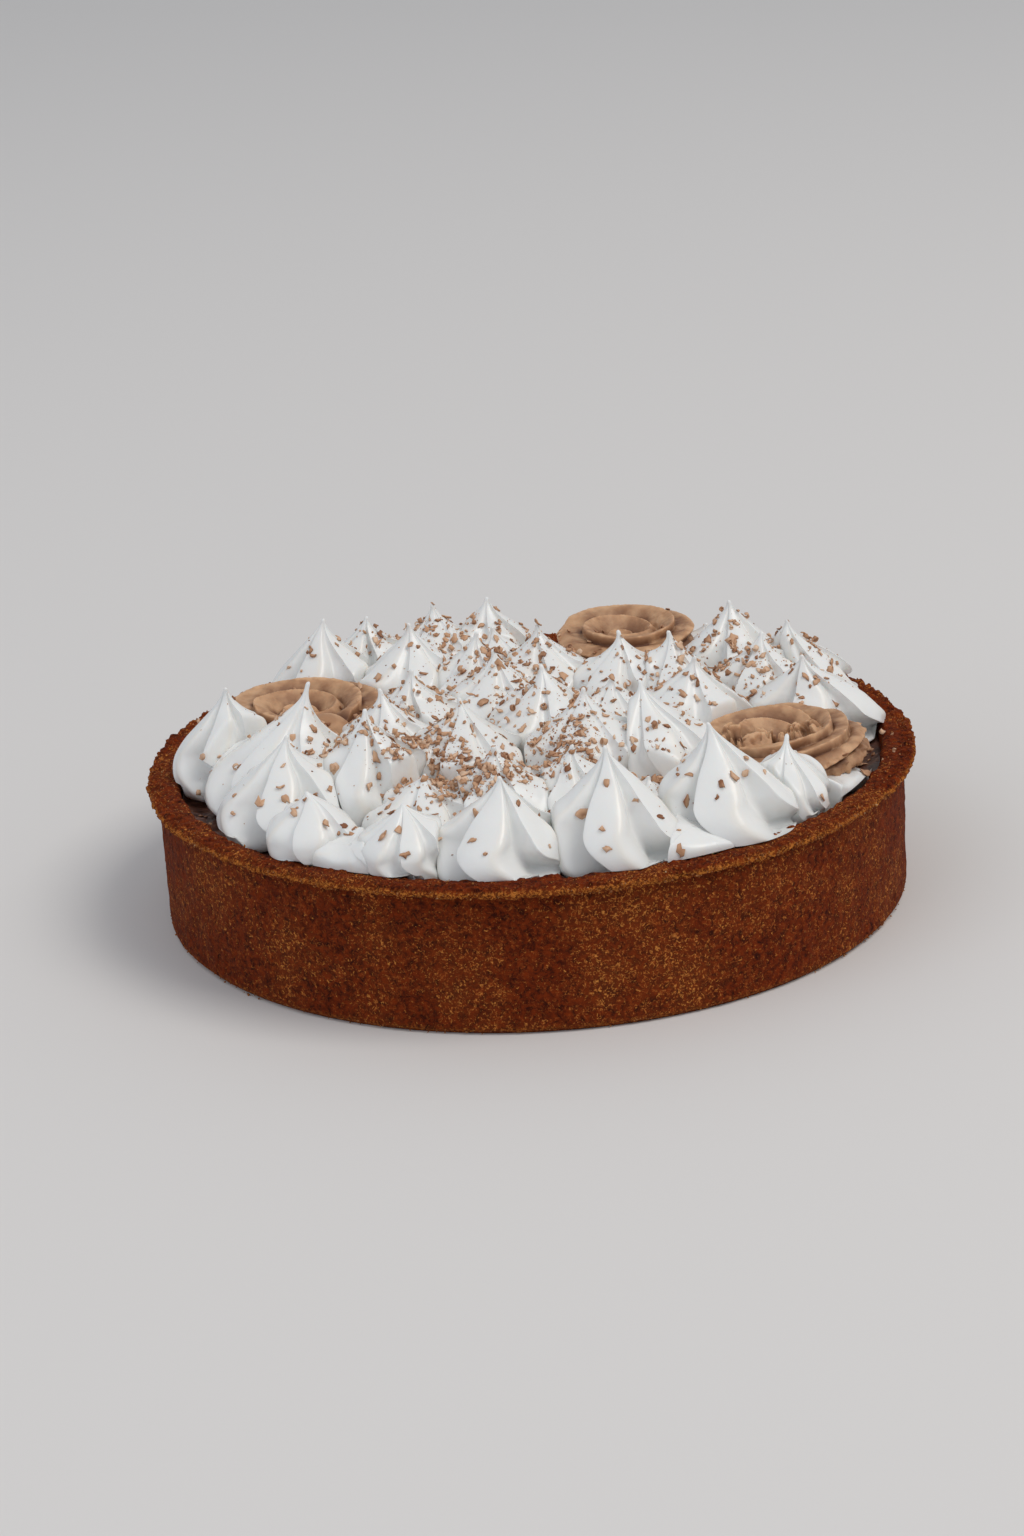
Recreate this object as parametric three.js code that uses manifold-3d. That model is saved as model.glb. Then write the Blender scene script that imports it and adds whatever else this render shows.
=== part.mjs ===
// A round chocolate hazelnut tart, modelled at real size in millimetres.
// +Z is up, and the origin is the middle of the flat base.
// A pastry case holds a chocolate filling, piped all over with white kisses
// and three hazelnut cream rosettes, with milk chocolate shavings on top.
import * as THREE from "three";
import { mergeVertices } from "three/addons/utils/BufferGeometryUtils.js";
import Module from "manifold-3d";

const wasm = await Module();
wasm.setup();

const turnFull = 2 * Math.PI;
const weldWithin = 0.0001;

// Pastry case: a deep wall, a flat floor, and a lip that stands out over the wall.
// The waves are how far the hand-trimmed lip strays outwards, inwards and up.
const caseSize = {
  segments: 72,
  wallRadius: 95.5,
  innerRadius: 90,
  floorThick: 5,
  footChamfer: 1.3,
  lipRadius: 98,
  lipUnder: 35.1,
  lipTop: 37.5,
  lipRound: 0.8,
  lipWave: 0.35,
  innerWave: 0.5,
  topWave: 0.15,
  waves: [
    { size: 0.5, count: 4, phase: 0.6 },
    { size: 0.3, count: 10, phase: 2 },
    { size: 0.2, count: 16, phase: 0 },
  ],
  topPhase: 1,
};

// Filling, level just under the lip
const gap = 0.3;
const fillingTop = 32.5;

// Kisses stand on the filling, and those at the edge lap over the lip.
// Lengths down a kiss run from 0 at the tip to 1 at the foot, and a lobe from 0 to 1 across:
// a sharp edge, a flat face up to a soft crest, and a scoop back up to the next edge.
const kissFoot = fillingTop + gap;
const kissShape = {
  footBelly: 0.2,
  footTuck: 0.2,
  flanks: {
    outer: { widestAt: 0.8, hollow: 1.5, depth: 0.34 },
    inner: { widestAt: 0.64, hollow: 1.8, depth: 0.25 },
    small: { widestAt: 0.58, hollow: 1.25, depth: 0.25 },
    mound: { widestAt: 0.8, hollow: 0.75, depth: 0.05 },
  },
  smallUnder: 12.5,
  outerFrom: 58,
  lobe: [
    { across: 0, height: 1 },
    { across: 0.5, height: 0.97 },
    { across: 0.8, height: 0 },
  ],
  leanCurve: 1.5,
  twist: 0.1,
  hook: 0.7,
  hookCurve: 5,
  levels: [1, 0.84, 0.6, 0.4, 0.2],
};
const lipClear = 0.35;
const lipRingWidth = 20;
const coverClear = 0.35;

// Each kiss: where its foot is, foot radius, height of its tip above the base,
// how far the tip leans, how many ridges, and the turn of the first in degrees.
// A mound names what lies on it, and a sparse kiss has few shavings. A slender kiss
// has its own hollow, which draws its upper part in to a needle.
const kisses = [
  { at: [-76.5, -4], r: 15, tip: 61, lean: [0.5, -3], ridges: 5, turn: -118, sparse: true },
  { at: [-61, -42], r: 17, tip: 59, lean: [2, 1], ridges: 5, turn: -117 },
  { at: [-53, -64], r: 11, tip: 52, lean: [-1, 1], ridges: 5, turn: 30, sparse: true },
  { at: [-44, -75], r: 11, tip: 41, lean: [0, 0], ridges: 5, turn: 0, carries: [] },
  { at: [-31, -75], r: 12, tip: 51.5, lean: [0, 1], ridges: 6, turn: 15, sparse: true },
  { at: [-9, -76], r: 17.5, tip: 58, lean: [1, -1], ridges: 5, turn: -134, sparse: true },
  { at: [18, -74], r: 18, tip: 62.5, lean: [-1, 1], ridges: 5, turn: -119, sparse: true },
  { at: [46, -62], r: 17.5, tip: 63, lean: [-4, 0], ridges: 5, turn: -120, sparse: true },
  { at: [37, -77], r: 14, tip: 42, lean: [0, 0], ridges: 5, turn: 30, carries: ["kiss_08"] },
  { at: [61, -52], r: 11, tip: 53.8, lean: [1, 4], ridges: 7, turn: 0, hollow: 1.9, sparse: true },
  { at: [70, -38], r: 17, tip: 41, lean: [0, 0], ridges: 5, turn: 10, carries: ["rosette_right"] },
  { at: [-64, -20], r: 19, tip: 64.5, lean: [9.7, 3], ridges: 5, turn: -140, hollow: 2.2 },
  { at: [-40, -35], r: 17, tip: 62.5, lean: [0, 0], ridges: 5, turn: 0 },
  { at: [-36, -12], r: 14, tip: 60, lean: [-1, 0], ridges: 5, turn: 50 },
  { at: [-17, -25], r: 17, tip: 60, lean: [0, 2], ridges: 5, turn: 25 },
  { at: [-8, -50], r: 16, tip: 56, lean: [-1, 0], ridges: 5, turn: 15 },
  { at: [-27, -51], r: 16, tip: 50, lean: [1, 1], ridges: 5, turn: 35 },
  { at: [-29, 6], r: 15, tip: 60, lean: [0, -4], ridges: 5, turn: 5 },
  { at: [-31, 36], r: 16, tip: 62, lean: [1, 0], ridges: 5, turn: 45 },
  { at: [-54, 48], r: 16, tip: 61, lean: [1, 0], ridges: 5, turn: 20, sparse: true },
  { at: [-42, 64], r: 15, tip: 57, lean: [0, -3], ridges: 5, turn: 0 },
  { at: [-24, 64], r: 15, tip: 58, lean: [0, 1], ridges: 5, turn: 30 },
  { at: [-8, 71], r: 16, tip: 58, lean: [-1, -2], ridges: 5, turn: 50 },
  { at: [-13, 31], r: 15, tip: 60, lean: [1, 0], ridges: 5, turn: 10 },
  { at: [-8, 51], r: 15, tip: 55, lean: [0, 0], ridges: 5, turn: 35 },
  { at: [-8, 14], r: 15, tip: 60, lean: [0, 1], ridges: 5, turn: 25 },
  { at: [5, -2], r: 16, tip: 60, lean: [-1, 2], ridges: 5, turn: 0 },
  { at: [6, 34], r: 16, tip: 60, lean: [-2, 0], ridges: 5, turn: 40 },
  { at: [14, -26], r: 17, tip: 61, lean: [0, 2], ridges: 5, turn: 15 },
  { at: [34, -28], r: 16, tip: 62, lean: [-6, 4], ridges: 5, turn: 50 },
  { at: [10, -49], r: 14, tip: 55, lean: [0, 0], ridges: 5, turn: 20 },
  { at: [25, 24], r: 15, tip: 60, lean: [0, 1], ridges: 5, turn: 10 },
  { at: [38, 22], r: 14, tip: 60, lean: [0, 0], ridges: 5, turn: 30 },
  { at: [42, -3], r: 17, tip: 61, lean: [1, -1], ridges: 5, turn: 0 },
  { at: [56, 48], r: 16.5, tip: 59, lean: [0, 1], ridges: 5, turn: 45 },
  { at: [62, 28], r: 15, tip: 56, lean: [1, 1], ridges: 5, turn: 20 },
  { at: [74, 37], r: 15, tip: 57, lean: [-4, -4], ridges: 5, turn: 5 },
  { at: [75, 9], r: 18, tip: 57, lean: [-4, -5], ridges: 5, turn: 35, sparse: true },
  { at: [22, 2], r: 14, tip: 55, lean: [0, 0], ridges: 5, turn: 25 },
  { at: [51, 69], r: 13, tip: 47, lean: [0, -1], ridges: 5, turn: 50 },
  { at: [-75, 38], r: 14, tip: 42, lean: [0, 0], ridges: 5, turn: 15, carries: [] },
  { at: [28, -50], r: 14, tip: 46, lean: [0, 0], ridges: 5, turn: 40 },
];
kisses.forEach((kiss, index) => {
  kiss.name = `kiss_${String(index + 1).padStart(2, "0")}`;
});

// Rosettes: a ridged ribbon laid round in a coil, which winds outwards most at its start.
// Crown and foot are shares of the radius.
const rosetteShape = {
  around: 20,
  steps: 8,
  winding: 2.5,
  crown: 0.62,
  middleDip: 3.2,
  ridge: 1.1,
  shoulder: 7.5,
  footShare: 0.88,
};
const rosettes = [
  { name: "rosette_back", at: [29, 64], r: 22, top: 51, turn: 200 },
  { name: "rosette_left", at: [-57, 13], r: 22.5, top: 51.2, turn: 120 },
  { name: "rosette_right", at: [63, -25], r: 22, top: 50, turn: 300 },
];
const pieces = [...kisses, ...rosettes];

// Shavings: thin chips with uneven corners, partly sunk in what they lie on
const shaving = {
  seed: 17,
  length: [2.8, 4.4],
  width: [1.8, 2.7],
  corner: [0.5, 1],
  thick: 1.2,
  sunk: 0.35,
  edgeClear: 0.5,
  leastRise: 0.35,
  overMound: 43,
  underTip: 3,
  spread: 3.5,
  perPiece: 3,
  perFrontPiece: 1,
  tries: 60,
};

const cream = { color: 0xf3f1ec, roughness: 0.45, metalness: 0 };
const hazelnut = { color: 0xb08a6c, roughness: 0.6, metalness: 0 };
const pastry = { color: 0x6b3519, roughness: 0.9, metalness: 0 };
const chocolate = { color: 0x3a2119, roughness: 0.35, metalness: 0 };

// Seeded draw between 0 and 1: each state is a fixed multiple of the last, modulo a prime
const draw = { multiple: 48271, prime: 2147483647 };

function makeRandom(seed) {
  let state = seed;
  return () => {
    state = (state * draw.multiple) % draw.prime;
    return state / draw.prime;
  };
}

function between(random, [low, high]) {
  return low + (high - low) * random();
}

// Closed geometry from points and triangles
function geometryOf(points, triangles) {
  const geometry = new THREE.BufferGeometry();
  geometry.setAttribute("position", new THREE.Float32BufferAttribute(points.flat(), 3));
  geometry.setIndex(triangles.flat());
  return geometry;
}

// A solid for joining and cutting
function solidOf(geometry) {
  const bare = geometry.clone();
  bare.deleteAttribute("normal");
  bare.deleteAttribute("uv");
  const merged = mergeVertices(bare, weldWithin);
  return new wasm.Manifold(new wasm.Mesh({
    numProp: 3,
    vertProperties: new Float32Array(merged.attributes.position.array),
    triVerts: new Uint32Array(merged.index.array),
  }));
}

function geometryFrom(solid) {
  const mesh = solid.getMesh();
  const geometry = new THREE.BufferGeometry();
  geometry.setAttribute("position", new THREE.BufferAttribute(mesh.vertProperties, 3));
  geometry.setIndex(new THREE.BufferAttribute(mesh.triVerts, 1));
  return geometry;
}

function meshOf(name, geometry, look) {
  geometry.computeVertexNormals();
  const mesh = new THREE.Mesh(geometry, new THREE.MeshStandardMaterial(look));
  mesh.name = name;
  return mesh;
}

// Turned profile, given as radius and height, about the Z axis
function turned(profile) {
  const outline = profile.map(([radius, height]) => new THREE.Vector2(radius, height));
  const geometry = new THREE.LatheGeometry(outline, caseSize.segments);
  geometry.rotateX(Math.PI / 2);
  return geometry;
}

// Slow unevenness round the lip, from -1 to 1, the same at opposite sides
function lipWave(angle) {
  const heights = caseSize.waves.map((wave) => wave.size * Math.cos(wave.count * angle + wave.phase));
  return heights.reduce((sum, height) => sum + height);
}

// Case: each profile point is a radius, a height, and how far it waves outwards and up
function crustGeometry() {
  const c = caseSize;
  const profile = [
    [0, 0, 0, 0],
    [c.wallRadius - c.footChamfer, 0, 0, 0],
    [c.wallRadius, c.footChamfer, 0, 0],
    [c.wallRadius, c.lipUnder, 0, 0],
    [c.lipRadius - c.lipRound, c.lipUnder, c.lipWave, 0],
    [c.lipRadius, c.lipUnder + c.lipRound, c.lipWave, 0],
    [c.lipRadius, c.lipTop - c.lipRound, c.lipWave, c.topWave],
    [c.lipRadius - c.lipRound, c.lipTop, c.lipWave, c.topWave],
    [c.innerRadius + c.lipRound + c.innerWave, c.lipTop, c.innerWave, c.topWave],
    [c.innerRadius + c.innerWave, c.lipTop - c.lipRound, c.innerWave, c.topWave],
    [c.innerRadius, c.floorThick, 0, 0],
    [0, c.floorThick, 0, 0],
  ];
  const geometry = turned(profile);
  const place = geometry.attributes.position;
  for (let i = 0; i < place.count; i += 1) {
    const [radius, height, wave, lift] = profile[i % profile.length];
    const angle = Math.atan2(place.getY(i), place.getX(i));
    const reach = radius + wave * lipWave(angle);
    const top = height + lift * lipWave(angle + c.topPhase);
    place.setXYZ(i, reach * Math.cos(angle), reach * Math.sin(angle), top);
  }
  return geometry;
}

function fillingGeometry() {
  const c = caseSize;
  return turned([
    [0, c.floorThick + gap],
    [c.innerRadius - gap, c.floorThick + gap],
    [c.innerRadius - gap, fillingTop],
    [0, fillingTop],
  ]);
}

// Ring just over the lip, which keeps what lies on the lip clear of it
function lipRing() {
  const c = caseSize;
  const inside = c.innerRadius - gap;
  const reach = inside + lipRingWidth;
  const over = c.lipTop + c.topWave + lipClear;
  return solidOf(turned([
    [inside, 0],
    [reach, 0],
    [reach, over],
    [inside, over],
    [inside, 0],
  ]));
}

// A kiss's flank on one side: low and wide over the wall, and steeper over the middle
function flankOf(kiss, [ux, uy]) {
  const { flanks, smallUnder, outerFrom } = kissShape;
  if (kiss.carries) return flanks.mound;
  if (kiss.hollow) return { ...flanks.outer, hollow: kiss.hollow };
  if (kiss.r < smallUnder) return flanks.small;
  const reached = Math.hypot(kiss.at[0] + kiss.r * ux, kiss.at[1] + kiss.r * uy);
  return reached > outerFrom ? flanks.outer : flanks.inner;
}

// Share of the full radius at a share of the way down from the tip to the foot
function flankShare(flank, down) {
  if (down > flank.widestAt) {
    const under = (down - flank.widestAt) / (1 - flank.widestAt);
    return 1 - kissShape.footTuck * under ** 3;
  }
  return Math.sin(0.5 * Math.PI * down / flank.widestAt) ** flank.hollow;
}

// Flat limits between a piece and those beside it, each a direction and a reach.
// A mound gives way to its neighbours, and what lies on it is cut by it instead.
function limitsOf(piece) {
  const limits = [];
  for (const other of pieces) {
    const stacked = piece.carries?.includes(other.name) || other.carries?.includes(piece.name);
    if (other === piece || stacked) continue;
    const dx = other.at[0] - piece.at[0];
    const dy = other.at[1] - piece.at[1];
    const apart = Math.hypot(dx, dy);
    if (apart > piece.r + other.r + shaving.edgeClear) continue;
    let reach = (apart * apart + piece.r ** 2 - other.r ** 2) / (2 * apart);
    if (piece.carries && !other.carries) reach = apart - other.r;
    if (other.carries && !piece.carries) reach = piece.r;
    limits.push({ nx: dx / apart, ny: dy / apart, reach: reach - gap / 2 });
  }
  return limits;
}

// How far a point may go from a piece's middle towards one direction
function reachOf(piece, limits, [x, y], [ux, uy], wanted) {
  let reach = wanted;
  for (const limit of limits) {
    const away = ux * limit.nx + uy * limit.ny;
    const used = (x - piece.at[0]) * limit.nx + (y - piece.at[1]) * limit.ny;
    if (away > 0) reach = Math.min(reach, (limit.reach - used) / away);
  }
  return reach;
}

// A piped kiss. Rows of points from the foot up, each turned with the ridges.
// With grow, the same form a little larger, to cut what lies on it.
function kissGeometry(kiss, limits, grow = 0) {
  const k = kissShape;
  const samples = k.lobe.length;
  const around = kiss.ridges * samples;
  const turn = THREE.MathUtils.degToRad(kiss.turn);
  const foot = kissFoot + k.footBelly - grow;
  const tip = kiss.tip + grow;
  const points = [[kiss.at[0], kiss.at[1], foot - k.footBelly]];
  for (const down of k.levels) {
    const leaning = (1 - down) ** k.leanCurve;
    const x = kiss.at[0] + kiss.lean[0] * leaning;
    const y = kiss.at[1] + kiss.lean[1] * leaning;
    const twist = turn + (kiss.carries ? 0 : k.twist * down + k.hook * down ** k.hookCurve);
    for (let i = 0; i < around; i += 1) {
      const { across, height } = k.lobe[i % samples];
      const angle = twist + (Math.floor(i / samples) + across) * turnFull / kiss.ridges;
      const direction = [Math.cos(angle), Math.sin(angle)];
      const flank = flankOf(kiss, direction);
      const wanted = kiss.r * flankShare(flank, down) * (1 - flank.depth * (1 - height));
      const radius = reachOf(kiss, limits, [x, y], direction, wanted) + grow;
      points.push([x + radius * direction[0], y + radius * direction[1], tip - (tip - foot) * down]);
    }
  }
  const last = points.length;
  points.push([kiss.at[0] + kiss.lean[0], kiss.at[1] + kiss.lean[1], tip]);
  const triangles = [];
  const rows = k.levels.length;
  for (let i = 0; i < around; i += 1) {
    const next = (i + 1) % around;
    triangles.push([0, 1 + next, 1 + i]);
    for (let row = 0; row < rows - 1; row += 1) {
      const low = 1 + row * around;
      const high = low + around;
      triangles.push([low + i, low + next, high + next], [low + i, high + next, high + i]);
    }
    const top = 1 + (rows - 1) * around;
    triangles.push([top + i, top + next, last]);
  }
  return geometryOf(points, triangles);
}

// Height of a rosette at a share of its radius: a coiled ribbon, lower in the middle
function rosetteHeight(rosette, share) {
  const q = rosetteShape;
  const crest = rosette.top - q.ridge;
  if (share < q.crown) return crest - q.middleDip * Math.cos(0.5 * Math.PI * share / q.crown) ** 2;
  return crest - q.shoulder * ((share - q.crown) / (1 - q.crown)) ** 2;
}

// A rosette. Its points run along a coil, in turn on a ridge and in a groove,
// so that after one round each row meets the second row further out.
function rosetteGeometry(rosette, limits) {
  const q = rosetteShape;
  const turn = THREE.MathUtils.degToRad(rosette.turn);
  const directions = [];
  for (let i = 0; i < q.around; i += 1) {
    const angle = turn + turnFull * i / q.around;
    directions.push([Math.cos(angle), Math.sin(angle)]);
  }
  const reaches = directions.map((way) => reachOf(rosette, limits, rosette.at, way, rosette.r));
  const pointAt = (i, share, height) => {
    const radius = reaches[i] * share;
    return [rosette.at[0] + radius * directions[i][0], rosette.at[1] + radius * directions[i][1], height];
  };
  const points = [];
  const indexes = new Map();
  for (let i = 0; i < q.around; i += 1) {
    const steps = i === 0 ? q.steps + 2 : q.steps;
    const wound = 2 * (1 - (1 - i / q.around) ** q.winding);
    for (let step = 0; step <= steps; step += 1) {
      const share = (step + 1 + wound) / (q.steps + 3);
      const ridge = step % 2 === 0 ? q.ridge : -q.ridge;
      indexes.set(`${i} ${step}`, points.length);
      points.push(pointAt(i, share, rosetteHeight(rosette, share) + ridge));
    }
  }
  const at = (i, step) => indexes.get(i < q.around ? `${i} ${step}` : `0 ${step + 2}`);
  const triangles = [];
  for (let i = 0; i < q.around; i += 1) {
    for (let step = 0; step < q.steps; step += 1) {
      triangles.push([at(i, step), at(i, step + 1), at(i + 1, step + 1)]);
      triangles.push([at(i, step), at(i + 1, step + 1), at(i + 1, step)]);
    }
  }
  // The coil's inner end, closed round its middle
  const middle = points.length;
  points.push([...rosette.at, rosetteHeight(rosette, 0) + q.ridge]);
  for (let i = 0; i < q.around; i += 1) triangles.push([middle, at(i, 0), at(i + 1, 0)]);
  for (const step of [0, 1]) triangles.push([middle, at(0, step + 1), at(0, step)]);
  // The side, drawn in to the foot, and the flat foot
  const foot = points.length;
  for (let i = 0; i < q.around; i += 1) points.push(pointAt(i, q.footShare, kissFoot));
  const under = points.length;
  points.push([...rosette.at, kissFoot]);
  for (let i = 0; i < q.around; i += 1) {
    const next = foot + (i + 1) % q.around;
    triangles.push([at(i + 1, q.steps), at(i, q.steps), foot + i]);
    triangles.push([at(i + 1, q.steps), foot + i, next]);
    triangles.push([under, next, foot + i]);
  }
  for (const step of [q.steps, q.steps + 1]) triangles.push([at(0, step), at(0, step + 1), foot]);
  return geometryOf(points, triangles);
}

// A chip of shaving, lying on a face at a point and partly sunk in it
function chipGeometry(random, point, normal) {
  const length = between(random, shaving.length) / 2;
  const width = between(random, shaving.width) / 2;
  const outline = new THREE.Shape([
    new THREE.Vector2(-length, -width * between(random, shaving.corner)),
    new THREE.Vector2(length * between(random, shaving.corner), -width),
    new THREE.Vector2(length, width * between(random, shaving.corner)),
    new THREE.Vector2(-length * between(random, shaving.corner), width),
  ]);
  const chip = new THREE.ExtrudeGeometry(outline, { depth: shaving.thick, bevelEnabled: false });
  chip.translate(0, 0, -shaving.thick * shaving.sunk);
  chip.rotateZ(turnFull * random());
  const tilt = new THREE.Quaternion().setFromUnitVectors(new THREE.Vector3(0, 0, 1), normal);
  chip.applyQuaternion(tilt);
  chip.translate(point.x, point.y, point.z);
  return chip;
}

// Whether a chip keeps inside its piece's limits, over the lip and off mounds
function chipFits(piece, limits, chip) {
  const corners = chip.attributes.position;
  const lowest = piece.lifted ? shaving.overMound : kissFoot + shaving.thick;
  for (let i = 0; i < corners.count; i += 1) {
    const [x, y, z] = [corners.getX(i), corners.getY(i), corners.getZ(i)];
    const overLip = Math.hypot(x, y) > caseSize.innerRadius - shaving.thick;
    const underLip = overLip && z < caseSize.lipTop + shaving.thick;
    if (z < lowest || z > piece.tip - shaving.underTip || underLip) return false;
    for (const limit of limits) {
      const used = (x - piece.at[0]) * limit.nx + (y - piece.at[1]) * limit.ny;
      if (used > limit.reach - shaving.edgeClear) return false;
    }
    if (Math.hypot(x - piece.at[0], y - piece.at[1]) > piece.r) return false;
  }
  return true;
}

// Chips scattered over a piece's faces that look up, larger faces more often
function scatterChips(piece, geometry, limits, random, count) {
  const place = geometry.attributes.position;
  const index = geometry.index;
  const faces = [];
  let whole = 0;
  for (let i = 0; i < index.count; i += 3) {
    const [a, b, c] = [0, 1, 2].map((corner) =>
      new THREE.Vector3().fromBufferAttribute(place, index.getX(i + corner)));
    const face = new THREE.Triangle(a, b, c);
    const normal = face.getNormal(new THREE.Vector3());
    if (normal.z < shaving.leastRise) continue;
    whole += face.getArea();
    faces.push({ face, normal, upTo: whole });
  }
  const chips = [];
  for (let attempt = 0; attempt < shaving.tries && chips.length < count; attempt += 1) {
    const drawn = whole * random();
    const { face, normal } = faces.find((entry) => entry.upTo >= drawn);
    let [u, v] = [random(), random()];
    if (u + v > 1) [u, v] = [1 - u, 1 - v];
    const point = face.a.clone().multiplyScalar(1 - u - v)
      .addScaledVector(face.b, u).addScaledVector(face.c, v);
    const apart = chips.every((chip) => chip.point.distanceTo(point) > shaving.spread);
    const chip = chipGeometry(random, point, normal);
    if (apart && chipFits(piece, limits, chip)) chips.push({ point, chip });
  }
  return chips.map(({ chip }) => solidOf(chip));
}

// The largest body of a cut solid
function mainBody(solid) {
  return solid.decompose().reduce((best, body) => (body.volume() > best.volume() ? body : best));
}

const tart = new THREE.Group();
tart.name = "tart";
tart.add(meshOf("crust", crustGeometry(), pastry));
tart.add(meshOf("filling", fillingGeometry(), chocolate));

const random = makeRandom(shaving.seed);
const ring = lipRing();
for (const piece of pieces) {
  const limits = limitsOf(piece);
  const isKiss = piece.ridges !== undefined;
  const geometry = isKiss ? kissGeometry(piece, limits) : rosetteGeometry(piece, limits);
  const mounds = pieces.filter((other) => other.carries?.includes(piece.name));
  piece.lifted = mounds.length > 0;
  let solid = solidOf(geometry);
  if (isKiss && !piece.carries) {
    const count = piece.sparse ? shaving.perFrontPiece : shaving.perPiece;
    for (const chip of scatterChips(piece, geometry, limits, random, count)) solid = solid.add(chip);
  }
  for (const mound of mounds) {
    solid = solid.subtract(solidOf(kissGeometry(mound, limitsOf(mound), coverClear)));
  }
  if (Math.hypot(...piece.at) + piece.r > caseSize.innerRadius - gap) solid = solid.subtract(ring);
  tart.add(meshOf(piece.name, geometryFrom(mainBody(solid)), isKiss ? cream : hazelnut));
}

export default tart;
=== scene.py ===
# A chocolate hazelnut tart: shortcrust case, chocolate filling, piped meringue kisses,
# hazelnut cream rosettes and milk chocolate shavings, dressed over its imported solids.
# Lengths are in metres, written as so many mm, and tables in plain mm say so. Angles round the
# tart run from +X towards +Y.
import math

import bpy
import numpy as np
from mathutils import Matrix, Vector
from mathutils.bvhtree import BVHTree


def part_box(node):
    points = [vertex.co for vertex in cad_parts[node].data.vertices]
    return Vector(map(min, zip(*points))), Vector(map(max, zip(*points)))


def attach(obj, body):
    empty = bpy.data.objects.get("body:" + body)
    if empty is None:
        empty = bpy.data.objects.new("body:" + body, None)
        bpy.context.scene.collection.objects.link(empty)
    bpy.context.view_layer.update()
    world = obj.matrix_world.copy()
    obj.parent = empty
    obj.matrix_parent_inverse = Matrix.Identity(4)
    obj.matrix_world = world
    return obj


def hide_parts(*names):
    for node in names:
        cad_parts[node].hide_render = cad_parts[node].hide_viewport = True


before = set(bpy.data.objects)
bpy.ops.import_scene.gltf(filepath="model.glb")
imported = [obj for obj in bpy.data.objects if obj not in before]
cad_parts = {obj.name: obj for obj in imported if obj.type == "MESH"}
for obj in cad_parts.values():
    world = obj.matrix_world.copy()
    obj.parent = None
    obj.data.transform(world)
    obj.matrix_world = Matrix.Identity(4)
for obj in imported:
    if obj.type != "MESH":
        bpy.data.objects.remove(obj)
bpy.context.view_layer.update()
mm = 0.001
fullTurn = 2 * math.pi

# Levels shared by several pieces, read from the frame
fillingLow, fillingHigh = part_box("filling")
gap = 0.3 * mm  # between neighbouring solids
fillingTop = fillingHigh.z
innerRadius = fillingHigh.x + gap
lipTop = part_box("crust")[1].z - 0.15 * mm  # feet sink a little into the crumb


def linear(hexColour):
    # sRGB hex to linear colour with full alpha
    channels = [int(hexColour[i:i + 2], 16) / 255 for i in (1, 3, 5)]
    return [c / 12.92 if c <= 0.04045 else ((c + 0.055) / 1.055) ** 2.4 for c in channels] + [1]


def feed(tree, node, inputs):
    # Links or sets a node's inputs, given by name or number
    for name, value in inputs.items():
        if isinstance(value, bpy.types.NodeSocket):
            tree.links.new(value, node.inputs[name])
        else:
            node.inputs[name].default_value = value


def addNode(tree, kind, inputs, out=0, **settings):
    # Adds a shader node with its settings and inputs, and gives one of its outputs
    node = tree.nodes.new("ShaderNode" + kind)
    for name, value in settings.items():
        setattr(node, name, value)
    feed(tree, node, inputs)
    return node.outputs[out]


forColours = {"out": 2, "data_type": "RGBA"}  # a Mix node of colours, which go in at 6 and 7


def newMaterial(name):
    # A material with its node tree and its Principled shader
    material = bpy.data.materials.new(name)
    material.use_nodes = True
    return material, material.node_tree, material.node_tree.nodes["Principled BSDF"]


def smoothStep(low, high, value):
    # 0 below low, 1 above high, and an even S between them
    share = np.clip((value - low) / (high - low), 0, 1)
    return share * share * (3 - 2 * share)


def polar(radius, angle, height):
    # Points at a distance and angle round an upright axis
    flat = 0 * radius * angle
    return np.stack([radius * np.cos(angle), radius * np.sin(angle), height + flat], axis=-1)


noiseTable = np.random.default_rng(11).uniform(-1, 1, (32, 32, 32))


def noise(points, cell, octaves=1):
    # Smooth random height from -1 to 1: values at the corners of cubes of side cell,
    # blended between corners, with each further octave half as large and half as high
    total = np.zeros(points.shape[:-1])
    for octave in range(octaves):
        scaled = points * (2 ** octave / cell) + 7.3 * (octave + 1)  # each octave starts elsewhere
        corner = np.floor(scaled).astype(int)
        part = scaled - corner
        part = part * part * (3 - 2 * part)
        for step in np.ndindex(2, 2, 2):
            at = (corner + step) % len(noiseTable)
            weight = np.prod(np.where(np.array(step, bool), part, 1 - part), axis=-1)
            total += weight * noiseTable[at[..., 0], at[..., 1], at[..., 2]] / 2 ** octave
    return total


def meshOf(name, points, faces, attributes, material):
    # Mesh object from an array of points and arrays of quads or triangles, shaded smooth
    mesh = bpy.data.meshes.new(name)
    loops = np.concatenate([face.ravel() for face in faces])
    sizes = np.concatenate([np.full(len(face), face.shape[1]) for face in faces])
    mesh.vertices.add(len(points))
    mesh.vertices.foreach_set("co", points.astype(np.float32).ravel())
    mesh.loops.add(len(loops))
    mesh.loops.foreach_set("vertex_index", loops.astype(np.int32))
    mesh.polygons.add(len(sizes))
    mesh.polygons.foreach_set("loop_start", (np.cumsum(sizes) - sizes).astype(np.int32))
    mesh.update(calc_edges=True)
    mesh.polygons.foreach_set("use_smooth", np.ones(len(sizes), bool))
    for key, values in attributes.items():
        mesh.attributes.new(key, "FLOAT", "POINT").data.foreach_set("value", values.astype(np.float32))
    mesh.materials.append(material)
    piece = bpy.data.objects.new(name, mesh)
    bpy.context.scene.collection.objects.link(piece)
    return piece


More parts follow.
